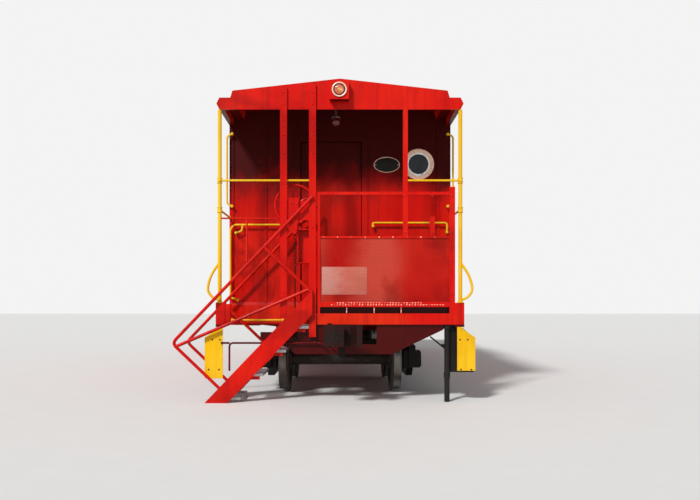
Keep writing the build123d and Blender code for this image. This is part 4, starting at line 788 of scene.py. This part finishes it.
def link(z, across):
    """Chain link: wire swept round a long ring with half-round ends, upright below its top z."""
    turn = np.linspace(0, 2 * pi, 29)
    wide = 0.0135 * np.cos(turn)
    tall = 0.0135 * np.sin(turn) + 0.012 * np.tanh(4 * np.sin(turn)) - 0.030 + z
    flat = np.zeros_like(turn)
    line = np.stack([wide, flat, tall] if across else [flat, wide, tall], 1) + (chain_x, front_y, 0)
    along = np.gradient(line, axis=0)
    along[0] = along[-1] = along[0] + along[-1]
    along /= np.linalg.norm(along, axis=1, keepdims=True)
    return line[:, None] + wire_r * spokes(along, 8)


def brake_rod(end_z, clevis_low, clevis_high):
    """Rod from the chain down to its clevis, a small block."""
    return [tube([(chain_x, front_y, rod_top_z), (chain_x, front_y, end_z)], rod_r, around=10),
            box_about(clevis_low, clevis_high)]


iron = Finish("coupler_iron")
flake = iron.ramp(iron.noise((35.0, 35.0, 35.0), 7.0, 0.7), 0.4, 0.7)
old_paint = iron.ramp(iron.noise((6.0, 6.0, 6.0), 4.0), 0.4, 0.6)
tone = iron.mix(flake, (0.006, 0.004, 0.003), (0.024, 0.011, 0.007))
tone = iron.mix(old_paint * 0.5, tone, (0.030, 0.0012, 0.0012))
coupler_iron = iron.finish({"Base Color": tone, "Roughness": flake * 0.2 + 0.55,
                            "Normal": iron.bump(flake, 0.0006), "Specular IOR Level": 0.15})
chains = both_ends([link(2.021 - i * link_pitch, i % 2 == 0) for i in range(9)])
chains += [link(0.914 - i * link_pitch, i % 2 == 0) for i in range(3)]
chains += brake_rod(0.905, (-0.57, -5.259, 0.7396), (-0.53, -5.22, 0.7796))
chains += both_ends(brake_rod(1.10, (-0.57, -5.258, 1.06), (-0.53, -5.242, 1.10)))[2:]
build("brake_chain_links", chains, coupler_iron, stands_for=["brake_chains"])

# Couplers and uncoupling levers: cast knuckles brown with rust, and at each end a bent rod
# with a hand loop, held in brackets on the beam, that lifts the lock.
dress(coupler_iron, "couplers")
lever_y, grip_x = -5.262, -1.35
lever_line = [(grip_x, lever_y, 0.36), (grip_x, lever_y, 0.70), (-0.23, lever_y, 0.70),
              (-0.04, -5.615, 0.605), (-0.04, -5.65, 0.605)]
lever = [tube(lever_line, 0.012, 0.05, 10), box_about((-1.455, -5.274, 0.688), (grip_x, front_y, 0.712)),
         box_about((-0.33, lever_y, 0.676), (-0.29, -5.22, 0.724))]
build("uncoupling_rods", both_ends(lever), grimy_shaded_red, stands_for=["uncoupling_levers"])

# Marker lamps: a red sheet-steel box screwed to the fascia, with a pale turned bezel, a black disc
# as painted shade in the gap round the lens, and a ribbed amber lens that is paler in its middle.
lamp_x, lamp_z = -0.008, 3.765
lamp = (lamp_x, -5.36, lamp_z)
dress(red_enamel, "end_lamps")
pale = Finish("lamp_bezel")
spot = pale.ramp(pale.noise((50.0, 50.0, 50.0), 5.0), 0.5, 0.7)
pale_ring = pale.finish({"Base Color": pale.mix(spot, (0.80, 0.66, 0.52), (0.55, 0.32, 0.22)),
                         "Roughness": spot * 0.2 + 0.3, "Metallic": 0.2})
# Columns: distance out from the box, radius
lamp_bezel = [(0.0, 0.0900), (0.0165, 0.0900), (0.0190, 0.0865), (0.0185, 0.0790), (0.0160, 0.0745),
              (0.0, 0.0735), (0.0, 0.0900)]
# Painted shade: a flat black disc that fills the gap between bezel and lens.
lamp_gap_shade = [(0.0, 0.0750), (0.0012, 0.0750), (0.0012, 0.0)]
lamp_lens = [(0.0, 0.0575), (0.0155, 0.0575), (0.0190, 0.0480), (0.0215, 0.0330), (0.0230, 0.0160),
             (0.0234, 0.0)]
build("lamp_bezels", both_ends([lathe(lamp_bezel, lamp, outward, 48)]), pale_ring)
build("lamp_gap_shades", both_ends([lathe(lamp_gap_shade, lamp, outward, 32)]), gasket_rubber)
amber = Finish("amber_lens")
off_middle = (abs(abs(amber.axis(0)) + lamp_x) ** 2 + abs(amber.axis(2) - lamp_z) ** 2) ** 0.5
ribs = off_middle.math("SINE", off_middle * 520.0)
haze = amber.ramp(amber.noise((30.0, 30.0, 30.0), 4.0), 0.4, 0.8)
tone = amber.mix(haze, (0.60, 0.13, 0.045), (0.74, 0.27, 0.14))
tone = amber.mix(amber.ramp(off_middle, 0.030, 0.006), tone, (0.86, 0.44, 0.13))
tone = amber.mix(amber.ramp(ribs, 0.2, 0.9) * 0.45, tone, (0.34, 0.075, 0.03))
amber_lens = amber.finish({"Base Color": tone, "Roughness": haze * 0.2 + 0.12,
                           "Normal": amber.bump(ribs, 0.0010), "Specular IOR Level": 0.6})
build("lamp_lenses", both_ends([lathe(lamp_lens, lamp, outward, 40)]), amber_lens)

# Platform lamps: a dark red glass globe under a spun tin collar, on a stem that is screwed
# into the ceiling.
globe_foot = np.array((-0.05, -4.85, 3.44))
globe = Finish("globe_glass")
dusty = globe.ramp(globe.noise((20.0, 20.0, 20.0), 4.0), 0.45, 0.8)
globe_glass = globe.finish({"Base Color": globe.mix(dusty, (0.10, 0.003, 0.003), (0.20, 0.05, 0.04)),
                            "Roughness": dusty * 0.3 + 0.06, "Specular IOR Level": 0.7})
tin = Finish("lamp_tin")
sooty = tin.ramp(tin.noise((25.0, 25.0, 25.0), 5.0), 0.35, 0.7)
lamp_tin = tin.finish({"Base Color": tin.mix(sooty, (0.20, 0.12, 0.10), (0.05, 0.02, 0.018)),
                       "Roughness": sooty * 0.3 + 0.4})
globe_profile = [(0.0, 0.0), (0.002, 0.014), (0.010, 0.030), (0.024, 0.043), (0.044, 0.052), (0.066, 0.055),
                 (0.088, 0.052), (0.106, 0.045)]
collar_profile = [(0.104, 0.046), (0.106, 0.056), (0.114, 0.058), (0.128, 0.050), (0.150, 0.030),
                  (0.168, 0.022), (0.176, 0.012), (0.4246, 0.010)]
build("globe_lamps", both_ends([lathe(globe_profile, globe_foot, (0, 0, 1), 32)]), globe_glass,
      stands_for=["platform_lamps"])
build("globe_collars", both_ends([lathe(collar_profile, globe_foot, (0, 0, 1), 32)]), lamp_tin)

# Stove pipe: black sheet-steel flue through a flashing on the roof, with a flat cap that three
# wires hold over its mouth.
stack_x, stack_y = 0.6, 2.0
# Columns: distance up from the profile's own foot, radius
flue = [(0.0, 0.075), (1.4, 0.075), (1.402, 0.077), (1.42, 0.077), (1.422, 0.075), (3.12, 0.075),
        (3.12, 0.067), (3.0, 0.067)]
flashing = [(0.0, 0.150), (0.012, 0.145), (0.060, 0.092), (0.090, 0.084), (0.092, 0.076)]
flue_cap = [(0.0, 0.0), (0.0, 0.118), (0.004, 0.120), (0.010, 0.090), (0.020, 0.040), (0.023, 0.0)]
pipe_parts = [lathe(profile, (stack_x, stack_y, z), (0, 0, 1), 40)
              for profile, z in ((flue, deck_z), (flashing, 3.842), (flue_cap, 4.356))]
for a in (0.3, 2.4, 4.5):
    x, y = stack_x + 0.071 * cos(a), stack_y + 0.071 * sin(a)
    pipe_parts.append(tube([(x, y, 4.26), (x, y, 4.36)], 0.004, around=8))
build("stove_pipe", pipe_parts, black_paint, stands_for=["smoke_stack"])

# Air tank: a welded steel cylinder with domed heads in black paint, hung under the floor on
# two straps.
tank_x, tank_y, tank_z = -0.7, 0.75, 0.9
strap_r, strap_half = 0.1995, 0.02
head = [(-0.49, 0.0), (-0.487, 0.060), (-0.476, 0.120), (-0.460, 0.160), (-0.440, 0.186), (-0.420, 0.198),
        (-0.400, 0.200)]
strap = [(-strap_half, strap_r), (-strap_half, strap_r + 0.005), (strap_half, strap_r + 0.005),
         (strap_half, strap_r), (-strap_half, strap_r)]
tank_parts = [lathe(head + [(-a, r) for a, r in reversed(head)], (tank_x, tank_y, tank_z), (0, 1, 0), 48)]
for y in (tank_y - 0.225, tank_y + 0.225):
    tank_parts.append(lathe(strap, (tank_x, y, tank_z), (0, 1, 0), 48))
    tank_parts += [box_about((tank_x + side * 0.199, y - strap_half, tank_z),
                             (tank_x + side * 0.206, y + strap_half, 1.16)) for side in (-1, 1)]
build("air_tank", tank_parts, black_paint, stands_for=["air_tanks"])

# Seats and door locks: black grained vinyl over the bay seats' cushions, rubbed grey by use,
# and a small lock plate with its cylinder on each door.
vinyl = Finish("seat_vinyl")
hide = vinyl.add("ShaderNodeTexVoronoi", {}, {"Vector": vinyl.where, "Scale": 260.0}, out="Distance")
rubbed = vinyl.ramp(vinyl.noise((4.0, 4.0, 4.0), 4.0), 0.45, 0.7)
seat_vinyl = vinyl.finish({"Base Color": vinyl.mix(rubbed, (0.022, 0.022, 0.026), (0.055, 0.052, 0.05)),
                           "Roughness": rubbed * 0.2 + 0.4, "Normal": vinyl.bump(hide, 0.0006)})
dress(seat_vinyl, "bay_seats")
lock_x, lock_y = -0.45, -4.435
cylinder = [(0.0, 0.012), (0.008, 0.012), (0.010, 0.009), (0.010, 0.0)]
lock = [box_about((lock_x - 0.025, lock_y, 2.10), (lock_x + 0.025, lock_y + 0.0055, 2.30), 0.002),
        lathe(cylinder, (lock_x, lock_y, 2.14), outward, 20)]
near_and_far = both_ends(lock)
build("door_lock_near", near_and_far[:2], end_red, "door_near")
build("door_lock_far", near_and_far[2:], end_red, "door_far")

# Stage: a plain pale floor under the wheels' flanges, an even pale sky and one soft sun from
# the front left, with the camera on the track's middle line at the deck's level.
half_width = 60.0
corners = np.array([(-1, -1), (1, -1), (1, 1), (-1, 1)]) * half_width
ground = bpy.data.meshes.new("studio_floor")
ground.from_pydata([(x, y, solid_box[0][2]) for x, y in corners], [], [(0, 1, 2, 3)])
studio_floor = bpy.data.objects.new("studio_floor", ground)
bpy.context.scene.collection.objects.link(studio_floor)
screed = Finish("studio_floor")
tone = screed.mix(screed.noise((3.0, 3.0, 3.0)), (0.76, 0.75, 0.73), (0.80, 0.79, 0.77))
ground.materials.append(screed.finish({"Base Color": tone, "Roughness": 0.9}))

world = bpy.data.worlds.new("studio")
world.use_nodes = True
bpy.context.scene.world = world
sky = world.node_tree
sky.nodes.clear()
lit, shown = sky.nodes.new("ShaderNodeBackground"), sky.nodes.new("ShaderNodeBackground")
for backdrop, colour, strength in ((lit, (0.95, 0.97, 1.0), 0.34), (shown, (0.90, 0.90, 0.90), 1.0)):
    backdrop.inputs["Color"].default_value = (*colour, 1.0)
    backdrop.inputs["Strength"].default_value = strength
rays = sky.nodes.new("ShaderNodeLightPath")
seen = rays.outputs["Is Camera Ray"]
for ray in ("Is Glossy Ray", "Is Transmission Ray"):
    either = sky.nodes.new("ShaderNodeMath")
    either.operation = "MAXIMUM"
    sky.links.new(seen, either.inputs[0])
    sky.links.new(rays.outputs[ray], either.inputs[1])
    seen = either.outputs[0]
both = sky.nodes.new("ShaderNodeMixShader")
sky.links.new(seen, both.inputs[0])
sky.links.new(lit.outputs[0], both.inputs[1])
sky.links.new(shown.outputs[0], both.inputs[2])
sky.links.new(both.outputs[0], sky.nodes.new("ShaderNodeOutputWorld").inputs["Surface"])

sun = bpy.data.lights.new("key", "SUN")
sun.energy = 3.0
sun.angle = radians(8)
key = bpy.data.objects.new("key", sun)
key.rotation_euler = (radians(50), 0, radians(-30))
bpy.context.scene.collection.objects.link(key)

camera_data = bpy.data.cameras.new("camera")
camera_data.lens = 36.6
camera_data.sensor_width = 36.0
camera_data.shift_x = 0.0143
camera_data.shift_y = 0.0743
camera_data.clip_end = 200.0
camera = bpy.data.objects.new("camera", camera_data)
camera.location = (0.0, -13.95, 1.2)
camera.rotation_euler = (radians(90), 0, 0)
bpy.context.scene.collection.objects.link(camera)
bpy.context.scene.camera = camera
bpy.context.scene.view_settings.view_transform = "Standard"
